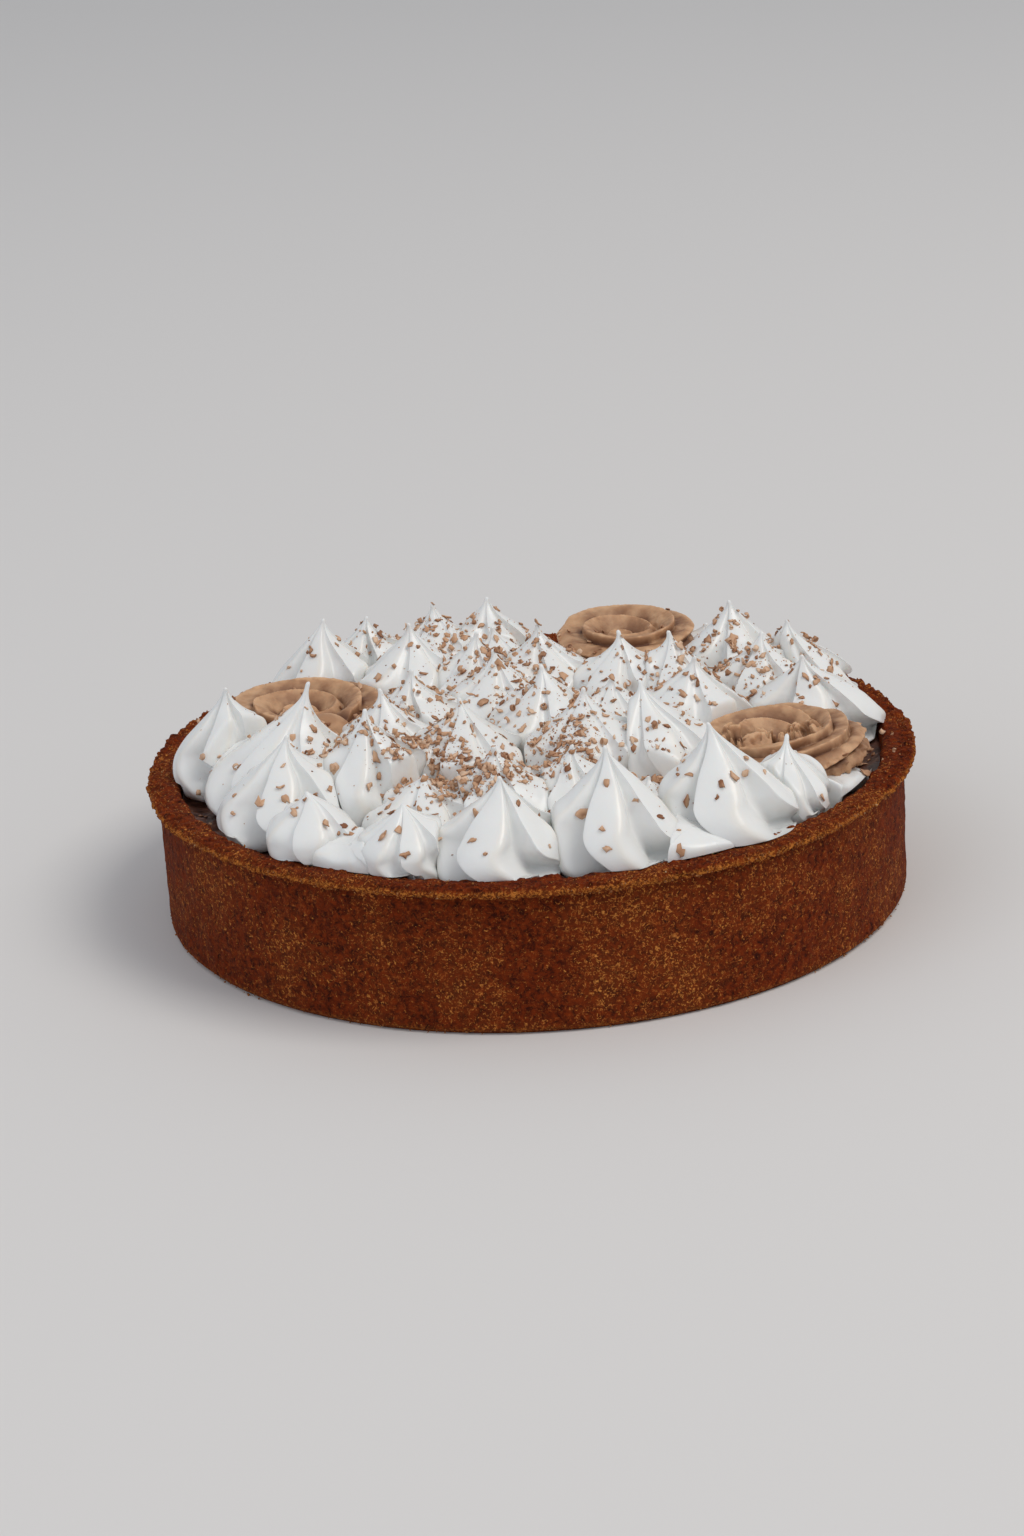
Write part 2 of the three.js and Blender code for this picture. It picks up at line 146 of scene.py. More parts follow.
def turnedGrid(points, startPole, endPole):
    # Points and faces of a grid that closes round its second axis, with a pole at each end.
    # Rows run so that the outside is on the left of the way from the first row to the last.
    rows, columns = points.shape[:2]
    index = np.arange(rows * columns).reshape(rows, columns)
    beside = np.roll(index, -1, axis=1)
    quads = np.stack([index[:-1], beside[:-1], beside[1:], index[1:]], axis=-1).reshape(-1, 4)
    start = np.full(columns, rows * columns)
    end = start + 1
    first = np.stack([start, beside[0], index[0]], axis=-1)
    last = np.stack([end, index[-1], beside[-1]], axis=-1)
    return np.vstack([points.reshape(-1, 3), startPole, endPole]), [quads, first, last]


def withPoles(values, startValue, endValue):
    # One value for each point of a turned grid, poles included
    return np.append(values.ravel(), [startValue, endValue])


def turnedProfile(corners, around):
    # Radius and height of each row along straight stretches, given as radius, height and
    # steps to the next corner, then the angle of each column
    rows = []
    for (radius, height, steps), (nextRadius, nextHeight, _) in zip(corners, corners[1:]):
        share = np.arange(steps) / steps
        rows.append(np.stack([radius + (nextRadius - radius) * share,
                              height + (nextHeight - height) * share], axis=-1))
    rows.append(np.array([corners[-1][:2]]))
    return np.vstack(rows) * mm, np.arange(around) * fullTurn / around


def settle(piece, slot, *nodes):
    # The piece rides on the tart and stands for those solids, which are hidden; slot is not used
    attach(piece, "root")
    if nodes:
        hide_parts(*nodes)
    return piece


# Pastry case
caseShape = {
    "around": 1290,
    # radius, height and steps to the next corner, in mm
    "corners": [
        (30, 0, 1), (93, 0, 2), (94.2, 0, 2), (95.5, 1.3, 38), (95.5, 35.1, 2), (97.2, 35.1, 2),
        (98, 35.9, 3), (98, 36.7, 3), (97.2, 37.5, 14), (91.3, 37.5, 2), (90.5, 36.7, 4),
        (90, 32, 1), (90, 5, 1), (30, 5, 1),
    ],
    "floor": 5 * mm,
    # size and height of each kind of relief, and its octaves
    "coarse": (7 * mm, 0.22 * mm, 2),
    "sandy": (1.6 * mm, 0.17 * mm, 2),
    "lipCrumbs": (1.7 * mm, 0.5 * mm, 2),  # along the lip's outer edge
    "lipGrit": (0.9 * mm, 0.46 * mm, 2),  # on all of the lip
    "innerEdge": (4.5 * mm, 0.75 * mm, 3),  # ragged edge over the filling
    "gritInside": 0.4,  # share of the grit away from the outer edge
    # the radii or heights between which a part of the case begins
    "lipFrom": (35 * mm, 35.2 * mm),
    "outsideFrom": (93 * mm, 96 * mm),
    "insideFrom": (93.5 * mm, 91 * mm),
    "insideUp": (30 * mm, 36 * mm),
    "baseUp": (0.5 * mm, 2.5 * mm),
    "baseFrom": (30 * mm, 60 * mm),
    # where the lip's outer face and the wall's foot are painted paler; on the lip this is partly a painted
    # highlight
    "paleFrom": (96.9 * mm, 97.6 * mm),
    "paleDown": (37.2 * mm, 36.5 * mm),
    "paleBase": (1.9 * mm, 0.9 * mm),
    "paleBaseShare": 0.6,
    "trim": [(0.5, 4, 0.6), (0.3, 10, 2), (0.2, 16, 0)],  # the lip's waves: share, count and start
    "trimReach": (0.35 * mm, 0.12 * mm),  # outwards and upwards
    "crack": -2.447,  # angle of the small step in the lip
    "crackRise": 0.5 * mm,
    "crackShares": (0.8, 0.6),  # of the rise, outwards and upwards
    "crackLength": 14 * mm,
}
pastryLook = {
    "dark": "#340C03",
    "baked": "#7E2E08",
    "patch": "#7E3E17",
    "strand": "#AA5925",
    "speck": "#CF853E",
    # pale crumb colour of the lip's outer face, partly a painted highlight
    "edge": "#C87A33",
    # size, detail, roughness and distortion of each noise
    "patches": (17 * mm, 4, 0.6, 0),
    "mottle": (1.7 * mm, 5, 0.72, 0.5),
    "grains": (0.75 * mm, 3, 0.6, 1.1),
    "worms": (2.1 * mm, 2, 0.5, 0.9),
    # low and high value of a noise, and the share or limit at each
    "bakedShare": (0.36, 0.6, 0, 1),
    "patchShare": (0.42, 0.64, 0, 0.32),
    "speckLimit": (0.35, 0.68, 0.655, 0.545),
    "gathering": (0.4, 0.6, 0.35, 1),
    "strandShare": (0.47, 0.56, 0, 0.9),
    "edgeShare": (0.48, 0.56, 0.1, 1),
    "speckRise": 0.08,  # above the limit, to a whole speck
    "strandWidth": 0.038,  # about the middle of the worms
    "grainRelief": 0.6 * mm,
    "mottleRelief": 0.8 * mm,
    "roughness": 0.85,
    "gloss": 0.12,
}


def makePastry():
    # Baked sweet shortcrust, rubbed and pressed by hand: dull and sandy, with pale specks and
    # strands of butter crumb that gather in patches
    look = pastryLook
    material, tree, shader = newMaterial("baked shortcrust")
    place = addNode(tree, "TexCoord", {}, "Object")
    patches, mottle, grains, worms = [
        addNode(tree, "TexNoise", {"Vector": place, "Scale": 1 / size, "Detail": detail, "Roughness": rough,
                                   "Distortion": distortion})
        for size, detail, rough, distortion in (look[key] for key in ("patches", "mottle", "grains", "worms"))]
    baked, patch, limit, gathered, unbroken, broken = [
        addNode(tree, "MapRange", dict(zip(("Value", "From Min", "From Max", "To Min", "To Max"),
                                           (source, *look[key]))))
        for source, key in ((mottle, "bakedShare"), (patches, "patchShare"), (patches, "speckLimit"),
                            (patches, "gathering"), (grains, "strandShare"), (grains, "edgeShare"))]
    # Specks are the highest grains, and strands a thin band about the middle of the worms
    above = addNode(tree, "Math", {0: grains, 1: limit}, operation="SUBTRACT")
    speck = addNode(tree, "MapRange", {"Value": above, "From Max": look["speckRise"]})
    band = addNode(tree, "Math", {0: worms, 1: 0.5, 2: look["strandWidth"]}, operation="COMPARE")
    pale = addNode(tree, "Math", {0: unbroken, 1: gathered}, operation="MULTIPLY")
    strand = addNode(tree, "Math", {0: band, 1: pale}, operation="MULTIPLY")
    # The lip's outer face is painted paler: pale baked crumb and a painted highlight where light falls on it;
    # the wall's foot is paler too
    atEdge = addNode(tree, "Attribute", {}, "Fac", attribute_name="paleEdgeAndHighlight")
    edge = addNode(tree, "Math", {0: atEdge, 1: broken}, operation="MULTIPLY")
    colour = linear(look["dark"])
    layers = {"baked": baked, "patch": patch, "strand": strand, "speck": speck, "edge": edge}
    for key, share in layers.items():
        colour = addNode(tree, "Mix", {0: share, 6: colour, 7: linear(look[key])}, **forColours)
    relief = addNode(tree, "Bump", {"Height": grains, "Strength": 1, "Distance": look["grainRelief"]})
    lumps = addNode(tree, "Bump", {"Height": mottle, "Strength": 0.7, "Distance": look["mottleRelief"],
                                   "Normal": relief})
    feed(tree, shader, {"Base Color": colour, "Normal": lumps, "Roughness": look["roughness"],
                        "Specular IOR Level": look["gloss"]})
    return material


def makeCase():
    # The case's profile turned round Z, moved along its own outward normal by the relief
    shape = caseShape
    rows, angles = turnedProfile(shape["corners"], shape["around"])
    along = np.gradient(rows, axis=0)
    along /= np.linalg.norm(along, axis=1, keepdims=True)
    outward, upward = along[:, 1:], -along[:, :1]
    radius, height = rows[:, :1], rows[:, 1:]
    onLip = smoothStep(*shape["lipFrom"], height)
    outer = smoothStep(*shape["outsideFrom"], radius)
    inner = smoothStep(*shape["insideFrom"], radius) * smoothStep(*shape["insideUp"], height)
    sides = smoothStep(*shape["baseUp"], height) * smoothStep(*shape["baseFrom"], radius)
    grit = onLip * (shape["gritInside"] + (1 - shape["gritInside"]) * outer)
    shares = {"coarse": sides, "sandy": sides, "lipCrumbs": onLip * outer, "lipGrit": grit, "innerEdge": inner}
    flat = polar(radius, angles, height)
    relief = 0
    for key, share in shares.items():
        size, amount, octaves = shape[key]
        relief = relief + amount * noise(flat, size, octaves) * share

    # The lip's hand-trimmed waves, and the step where a piece of it was pressed on
    wave = sum(share * np.cos(count * angles + start) for share, count, start in shape["trim"])
    distance = np.angle(np.exp(1j * (angles - shape["crack"]))) * radius
    step = np.sign(distance) * np.exp(-np.abs(distance) / shape["crackLength"]) * shape["crackRise"]
    (waveOut, waveUp), (stepOut, stepUp) = shape["trimReach"], shape["crackShares"]
    newRadius = radius + (waveOut * wave + stepOut * step) * onLip * outer + relief * outward
    newHeight = height + (waveUp * wave + stepUp * step) * onLip + relief * upward
    # Paler on the lip's outer face, partly a painted highlight, and at the wall's foot
    paleEdgeAndHighlight = smoothStep(*shape["paleFrom"], radius) * smoothStep(*shape["paleDown"], height) * onLip
    paleEdgeAndHighlight = paleEdgeAndHighlight + shape["paleBaseShare"] * smoothStep(*shape["paleBase"], height) * outer
    paleEdgeAndHighlight = paleEdgeAndHighlight + 0 * angles
    grid, faces = turnedGrid(polar(newRadius, angles, newHeight), [0, 0, 0], [0, 0, shape["floor"]])
    piece = meshOf("pastry_case", grid, faces, {"paleEdgeAndHighlight": withPoles(paleEdgeAndHighlight, 0, 0)}, makePastry())
    return settle(piece, "pastry", "crust")


# Chocolate filling, spread with a knife so that it has ridges near the wall
fillingShape = {
    "around": 480,
    "rows": 56,
    "rowSpread": (0.04, 0.6),  # share of the radius in the first row's place, and the power of the others
    "overlap": 0.1 * mm,  # into the wall
    "underRing": 0.5,  # share of the radius of the ring underneath
    "ridges": (3.4 * mm, 0.45 * mm),  # spacing and height
    "ridgesAt": 0.8,  # share of the radius where they have that spacing
    "slant": 9 * mm,  # outwards, over which they turn by one spacing
    "wander": (12 * mm, 2),
    "valley": 0.7,
    "lumps": (4 * mm, 0.5 * mm),
    "rise": 0.9 * mm,  # up the wall
    "riseFrom": 86 * mm,
    "shownFrom": (58 * mm, 76 * mm),
}
fillingLook = {"dark": "#3E231A", "light": "#6E4738", "smear": 3 * mm, "roughness": 0.33}


def makeGanache():
    # Chocolate and hazelnut filling, spread and set: dark, close grained and satin
    look = fillingLook
    material, tree, shader = newMaterial("chocolate filling")
    place = addNode(tree, "TexCoord", {}, "Object")
    smear = addNode(tree, "TexNoise", {"Vector": place, "Scale": 1 / look["smear"], "Detail": 4})
    share = addNode(tree, "MapRange", {"Value": smear, "From Min": 0.4, "From Max": 0.62})
    colour = addNode(tree, "Mix", {0: share, 6: linear(look["dark"]), 7: linear(look["light"])}, **forColours)
    bump = addNode(tree, "Bump", {"Height": smear, "Strength": 0.5, "Distance": 0.5 * mm})
    feed(tree, shader, {"Base Color": colour, "Normal": bump, "Roughness": look["roughness"]})
    return material


def makeFilling():
    # A disc whose top is moved up by ridges that run outwards, by lumps and by its rise at the
    # wall, closed underneath by a flat ring
    shape = fillingShape
    angles = np.arange(shape["around"]) * fullTurn / shape["around"]
    first, power = shape["rowSpread"]
    edge = innerRadius + shape["overlap"]
    radius = edge * np.linspace(first, 1, shape["rows"])[:, None] ** power
    top = polar(radius, angles, fillingTop)
    cell, amount = shape["wander"]
    spacing, high = shape["ridges"]
    turns = angles * edge * shape["ridgesAt"] / spacing + amount * noise(top, cell) + radius / shape["slant"]
    lift = high * (np.abs(np.cos(math.pi * turns)) - shape["valley"])
    lift += shape["lumps"][1] * noise(top, shape["lumps"][0], 2)
    lift += shape["rise"] * smoothStep(shape["riseFrom"], edge, radius)
    top[..., 2] += lift * smoothStep(*shape["shownFrom"], radius)
    under = polar(edge * np.array([[shape["underRing"]], [1]]), angles, fillingLow.z)
    grid, faces = turnedGrid(np.concatenate([under, top[::-1]]), [0, 0, fillingLow.z], [0, 0, fillingTop])
    piece = meshOf("chocolate_filling", grid, faces, {}, makeGanache())
    return settle(piece, "filling", "filling")


# Meringue kisses, whose feet, tips and heights are read from the solids
kissShape = {
    "rows": 76,
    "samples": 28,  # across a lobe
    "footBelly": 0.2 * mm,
    "footTuck": 0.2,
    "outer": (0.8, 1.5),  # share down where a kiss by the wall is widest, and how hollow its flank is
    "inner": (0.64, 1.8),
    "mound": (0.8, 0.75),
    "small": (0.58, 1.25),
    "lobeDepth": 0.36,
    "innerDepth": 0.27,
    "smallDepth": 0.24,
    "moundDepth": 0.05,
    "faceDip": 0.03,
    "crest": (0.4, 0.62),  # share across where the face turns into the scoop
    "bowlAt": 0.6,  # share of the scoop where it is deepest
    "scoopEnd": (0.84, 1.2),  # share down where the scoop closes
    "toe": (0.3, 0.86, 0.55),  # shares down between which a face narrows, and by how much
    "blunt": (0.58 * mm, 0.8 * mm),  # radius and height of the rounded tip
    "moundSpread": 2.5 * mm,  # how far a mound presses under its neighbours
    "curl": 0.05,  # how far the sharp edge leans over the scoop before it
    "leanCurve": 1.5,
    "twist": 0.1,
    "hook": 0.7,
    "hookFrom": 0.56,
    "hookSpread": (0.75, 1.15),  # a kiss's hook, as shares of that
    "depths": (0.75, 1.15),  # the same, for a lobe's depth
    "sharp": (1.15, 1.2),  # depth of the lobes seen from the front, and scoop end of the one before
    "uneven": 0.16,  # widths of the lobes
    "rowSpread": 0.6,  # how much the rows crowd towards the tip and foot
    "leanWidths": (0.1, 0.05),  # shares across over which the edge's lean fades, behind and before
    "closing": (-0.05, 0.04),  # shares down about its end over which a scoop closes
    "climb": 2.6,  # how steeply a scoop ends
    "needleDown": 0.35,
    "filletDown": (0.9, 0.6),
    "wobble": (9 * mm, 0.45 * mm),
    "wobbleDown": (0, 0.35),
    "paintedCrestGlow": (0.06, 0.05, 0.4),  # width of a crest's painted glow, and shares down between which it sets in
    "contact": 0.45 * mm,  # how far neighbours press into each other
    "softness": 0.9 * mm,
    "smallUnder": 12.5 * mm,  # kisses of less radius have steep flanks
    "fillet": (4.5 * mm, 8 * mm),  # width over which flanks flow together: of a kiss, of a mound
    "needle": 0.6 * mm,  # sideways bend just under the tip
    "rest": (0.6 * mm, 0.4 * mm),  # softness of the foot's edge, and how far it presses in
    "rings": (50 * mm, 66 * mm),  # distances from the middle between which inner turns outer
}
# Radius in mm and turn of the first ridge in degrees, from kiss_01 on
kissSizes = [
    (15, 20), (17, 10), (11, 30), (11, 0), (12, 15), (16.7, 7), (17, 16),
    (17.5, -5), (14, 30), (11, 0), (17, 10), (19, -140), (17, 0), (14, 50),
    (17, 25), (16, 15), (16, 35), (15, 5), (16, 45), (16, 20), (15, 0),
    (15, 30), (16, 50), (15, 10), (15, 35), (15, 25), (16, 0), (16, 40),
    (17, 15), (16, 50), (14, 20), (15, 10), (14, 30), (17, 0), (16.5, 45),
    (15, 20), (15, 5), (18, 35), (14, 25), (13, 50), (14, 15), (14, 40),
]
kisses = {f"kiss_{number:02d}": size for number, size in enumerate(kissSizes, 1)}
ridgeCounts = {"kiss_05": 6, "kiss_10": 7}  # where there aren't five
# Lobes seen from the front: angle of the sharp edge, width, share of the crest, end of the scoop
frontLobes = {
    "kiss_01": (-118, 74, 0.5, 1.1), "kiss_02": (-117, 76, 0.5, 1.1), "kiss_06": (-134, 80, 0.6, 0.88),
    "kiss_07": (-119, 76, 0.52, 0.9), "kiss_08": (-120, 92, 0.5, 0.88),
}
# Needle-like kisses: widest level and hollow of the flank
slender = {"kiss_10": (0.64, 2.1), "kiss_12": (0.8, 2.2)}
# Distance in mm from the middle at which a foot stops
stopsAt = {"kiss_04": 92, "kiss_09": 92, "kiss_11": 90, "kiss_41": 90}
# Low mounds, and what lies on each
mounds = {"kiss_04": None, "kiss_09": "kiss_08", "kiss_11": "rosette_right", "kiss_41": None}
# Rosettes: radius in mm, turn in degrees, spacing of the ridges in mm on the broad and on the
# tight side, the tight side's angle, the angle where the raised rim starts and its height, and
# in mm the torn places as x, y and size, and the ribbon's end as x, y, size and level
rosettes = {
    "rosette_back": {"radius": 21, "turn": 230, "spacing": (7.5, 6.0), "tight": 20, "rim": (160, 1.4),
                     "torn": [], "end": None},
    "rosette_left": {"radius": 22.5, "turn": 190, "spacing": (7.4, 6.0), "tight": 40, "rim": (212, 1.9),
                     "torn": [], "end": (-51.4, -3.5, 6.4, 51)},
    "rosette_right": {"radius": 22, "turn": 20, "spacing": (8.4, 4.4), "tight": -10, "rim": (190, 0.3),
                      "torn": [(53, -31, 8), (60, -30, 8), (67, -26, 6.5)], "end": None},
}
rosettePlaces = {"rosette_back": (29, 64), "rosette_left": (-57, 13), "rosette_right": (63, -25)}
# crest is a cream colour painted along the kisses' crests: a painted glow and warm reflection
meringueLook = {"colour": "#F0F1EF", "crest": "#F3F0E9", "grain": 1.6 * mm, "roughness": 0.26}


def meshPoints(mesh):
    # Every vertex of a mesh
    points = np.empty(len(mesh.vertices) * 3, np.float32)
    mesh.vertices.foreach_get("co", points)
    return points.reshape(-1, 3).astype(float)


def readPiped():
    # Foot centre, tip and radius of each piped piece: a kiss's lowest and highest vertices
    piped = {}
    for name, (radius, _) in kisses.items():
        points = meshPoints(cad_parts[name].data)
        foot = points[np.argmin(points[:, 2])]
        tip = points[np.argmax(points[:, 2])]
        piped[name] = {"foot": foot, "tip": tip, "radius": radius * mm}
    for name, values in rosettes.items():
        x, y = rosettePlaces[name]
        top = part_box(name)[1].z
        foot = np.array([x * mm, y * mm, fillingTop + gap])
        piped[name] = {"foot": foot, "tip": np.array([x * mm, y * mm, top]), "radius": values["radius"] * mm}
    return piped


def limitsOf(name, piped):
    # Flat limits between a piece and its neighbours: direction and reach of each, as in the solids.
    # A mound gives way to its neighbours, and what lies on it isn't held back by it.
    here = piped[name]
    limits = []
    for other, there in piped.items():
        if other == name or mounds.get(name) == other or mounds.get(other) == name:
            continue
        offset = there["foot"][:2] - here["foot"][:2]
        apart = np.linalg.norm(offset)
        if apart > here["radius"] + there["radius"] + 0.5 * mm:
            continue
        reach = (apart ** 2 + here["radius"] ** 2 - there["radius"] ** 2) / (2 * apart)
        if name in mounds and other not in mounds:
            reach = apart - there["radius"]
        if other in mounds and name not in mounds:
            reach = here["radius"]
        limits.append((offset / apart, reach))
    return limits


def heldBack(radius, angle, axis, foot, limits, contact, softness):
    # Radius cut off softly at each limit: a smooth minimum of the radius and the limit's distance
    glancing = 0.05  # cosine below which a ray doesn't meet the limit
    for direction, reach in limits:
        away = np.cos(angle) * direction[0] + np.sin(angle) * direction[1]
        used = (axis[..., 0] - foot[0]) * direction[0] + (axis[..., 1] - foot[1]) * direction[1]
        cut = np.where(away > glancing, (reach + contact - used) / np.maximum(away, glancing), 1)
        radius = radius - softness * np.logaddexp(0, (radius - cut) / softness)
    return np.maximum(radius, 0.05 * mm)


def filledIn(points, foot, limits, contact, width):
    # Height added beside each limit, where flanks flow together: half the width at the limit,
    # falling along a parabola to nothing at the width
    raised = np.zeros(points.shape[:-1])
    for direction, reach in limits:
        spare = reach + contact - (points[..., :2] - foot[:2]) @ direction
        raised += np.maximum(width - np.maximum(spare, 0), 0) ** 2 / (2 * width)
    return raised


def lobeHeight(across, crest):
    # Height of a lobe from 0 to 1 across: a nearly flat face from its sharp edge to a soft crest,
    # then a scoop that falls in an S and climbs ever steeper to the next sharp edge
    shape = kissShape
    deepest = shape["bowlAt"]
    face = shape["faceDip"] * np.sin(math.pi * np.clip(across / crest, 0, 1))
    scoop = np.clip((across - crest) / (1 - crest), 0, 1)
    climb = np.clip((scoop - deepest) / (1 - deepest), 0, 1) ** shape["climb"]
    return 1 - face - smoothStep(0, deepest, scoop) + climb


def flank(down, widest, hollow):
    # Radius share from the tip down: a power of a sine up to the widest level, then a tucked foot
    under = np.clip((down - widest) / (1 - widest), 0, 1)
    swelling = np.sin(0.5 * math.pi * np.minimum(down, widest) / widest) ** hollow
    return np.where(down > widest, 1 - kissShape["footTuck"] * under ** 3, swelling)


def carriedHeight(radius):
    # Level that carries a foot at a distance from the tart's middle: the filling, then the lip
    climb = smoothStep(innerRadius - 1.4 * mm, innerRadius - 0.1 * mm, radius)
    return fillingTop + (lipTop - fillingTop) * climb


def makeMeringue():
    # Italian meringue, piped and not baked: bright white, smooth and softly glossy, a little see-through.
    # Its crests are painted cream-coloured: a painted glow and warm reflection.
    look = meringueLook
    material, tree, shader = newMaterial("piped meringue")
    place = addNode(tree, "TexCoord", {}, "Object")
    crest = addNode(tree, "Attribute", {}, "Fac", attribute_name="crest")
    plain, paintedCrestGlow = linear(look["colour"]), linear(look["crest"])
    colour = addNode(tree, "Mix", {0: crest, 6: plain, 7: paintedCrestGlow}, **forColours)
    fine = addNode(tree, "TexNoise", {"Vector": place, "Scale": 1 / look["grain"], "Detail": 3})
    bump = addNode(tree, "Bump", {"Height": fine, "Strength": 0.12, "Distance": 0.4 * mm})
    feed(tree, shader, {"Base Color": colour, "Normal": bump, "Roughness": look["roughness"],
                        "Subsurface Weight": 0.22, "Subsurface Scale": 1,
                        "Subsurface Radius": (2.8 * mm, 2.3 * mm, 2 * mm)})
    return material


def makeKiss(name, piped, limits, material, seed):
    # Polar surface about a leaning axis. At a share down from the tip, the radius is the profile's
    # less what the lobe takes off, and the lobes twist, then hook round at the foot.
    shape = kissShape
    draw = np.random.default_rng(seed)
    here = piped[name]
    isMound = name in mounds
    turn, ridges = kisses[name][1], ridgeCounts.get(name, 5)
    foot, tip = here["foot"], here["tip"]
    widths = 1 + shape["uneven"] * draw.uniform(-1, 1, ridges)
    widths *= 360 / widths.sum()
    depths = draw.uniform(*shape["depths"], ridges)
    crests = draw.uniform(*shape["crest"], ridges)
    ends = draw.uniform(*shape["scoopEnd"], ridges)
    if name in frontLobes:
        turn, width, crests[0], ends[0] = frontLobes[name]
        widths[1:] *= (360 - width) / widths[1:].sum()
        widths[0] = width
        depths[[0, -1]], ends[-1] = shape["sharp"]
    edges = np.radians(turn + np.append(0, np.cumsum(widths)))
    hook = 0 if isMound else shape["hook"] * draw.uniform(*shape["hookSpread"])
    twist = 0 if isMound else shape["twist"]

    share = np.linspace(1, 0, shape["rows"] + 1)[:-1, None]
    crowding = shape["rowSpread"]
    down = (1 - crowding) * share + crowding * (0.5 - 0.5 * np.cos(math.pi * share))
    across = np.tile(0.5 - 0.5 * np.cos(math.pi * np.arange(shape["samples"]) / shape["samples"]), ridges)
    lobe = np.repeat(np.arange(ridges), shape["samples"])
    width = edges[lobe + 1] - edges[lobe]
    behind, before = shape["leanWidths"]
    leaning = shape["curl"] * (np.exp(-across / behind) + np.exp((across - 1) / before))
    angle = edges[lobe] + width * (across - leaning)
    angle = angle + twist * down + hook * smoothStep(shape["hookFrom"], 1, down)

    # Kisses by the wall are widest low down, and inner ones fill the valleys between them
    reached = np.hypot(foot[0] + here["radius"] * np.cos(angle), foot[1] + here["radius"] * np.sin(angle))
    byWall = smoothStep(*shape["rings"], reached)
    if isMound:
        profile = flank(down, *shape["mound"])
    elif name in slender:
        profile = flank(down, *slender[name])
    elif here["radius"] < shape["smallUnder"]:
        profile = flank(down, *shape["small"])
    else:
        profile = byWall * flank(down, *shape["outer"]) + (1 - byWall) * flank(down, *shape["inner"])
    depth = byWall * shape["lobeDepth"] + (1 - byWall) * shape["innerDepth"]
    if isMound or here["radius"] < shape["smallUnder"]:
        depth = shape["moundDepth"] if isMound else shape["smallDepth"]
    closeFrom, closeTo = shape["closing"]
    depth = depth * depths[lobe] * (1 - smoothStep(ends[lobe] + closeFrom, ends[lobe] + closeTo, down))
    toeFrom, toeTo, narrowing = shape["toe"]
    crestAt = crests[lobe] * (1 - (0 if isMound else narrowing) * smoothStep(toeFrom, toeTo, down))
    radius = here["radius"] * profile * (1 - depth * (1 - lobeHeight(across, crestAt)))
    bluntRadius, bluntHeight = shape["blunt"]
    below = np.clip((tip[2] - foot[2]) * down / bluntHeight, 0, 1)
    radius = np.hypot(radius, bluntRadius * np.sqrt(1 - (1 - below) ** 2))

    lean = (tip - foot)[:2]
    footRing = foot[2] + shape["footBelly"]
    bendWay = draw.uniform(0, fullTurn)
    bend = shape["needle"] * np.sin(math.pi * np.clip(down / shape["needleDown"], 0, 1))[..., None]
    bend = bend * np.array([math.cos(bendWay), math.sin(bendWay)])
    axis = foot[:2] + lean * ((1 - down) ** shape["leanCurve"])[..., None] + bend
    contact = shape["moundSpread"] if isMound else shape["contact"]
    radius = heldBack(radius, angle, axis, foot, limits, contact, shape["softness"])
    height = tip[2] - (tip[2] - footRing) * down
    points = polar(radius, angle, height)
    points[..., :2] += axis
    fillet = shape["fillet"][isMound]
    points[..., 2] += filledIn(points, foot, limits, contact, fillet) * smoothStep(*shape["filletDown"], down)
    size, amount = shape["wobble"]
    apart = 13 * mm * seed  # so that each kiss has its own wobble
    push = amount * smoothStep(*shape["wobbleDown"], down) * noise(points + apart, size, 2)
    points[..., 0] += push * np.cos(angle)
    points[..., 1] += push * np.sin(angle)
    if name in stopsAt:
        distance = np.hypot(points[..., 0], points[..., 1])
        past = mm * np.logaddexp(0, (distance - stopsAt[name] * mm) / mm)
        points[..., :2] *= (1 - past / distance)[..., None]
    # It rests softly on what carries it, pressed in a little
    soft, pressed = shape["rest"]
    level = carriedHeight(np.hypot(points[..., 0], points[..., 1])) + gap
    above = points[..., 2] - level
    points[..., 2] = level + soft * np.logaddexp(0, above / soft) - pressed * np.exp(-np.abs(above) / mm)
    # Painted glow and warm reflection: a cream colour along each crest
    narrow, setsIn, whole = shape["paintedCrestGlow"]
    crest = np.exp(-((across - crestAt) / narrow) ** 2) * smoothStep(setsIn, whole, down)
    grid, faces = turnedGrid(points, foot, tip)
    piece = meshOf("piped_" + name, grid, faces, {"crest": withPoles(crest, 0, 0)}, material)
    return settle(piece, "meringue", name)


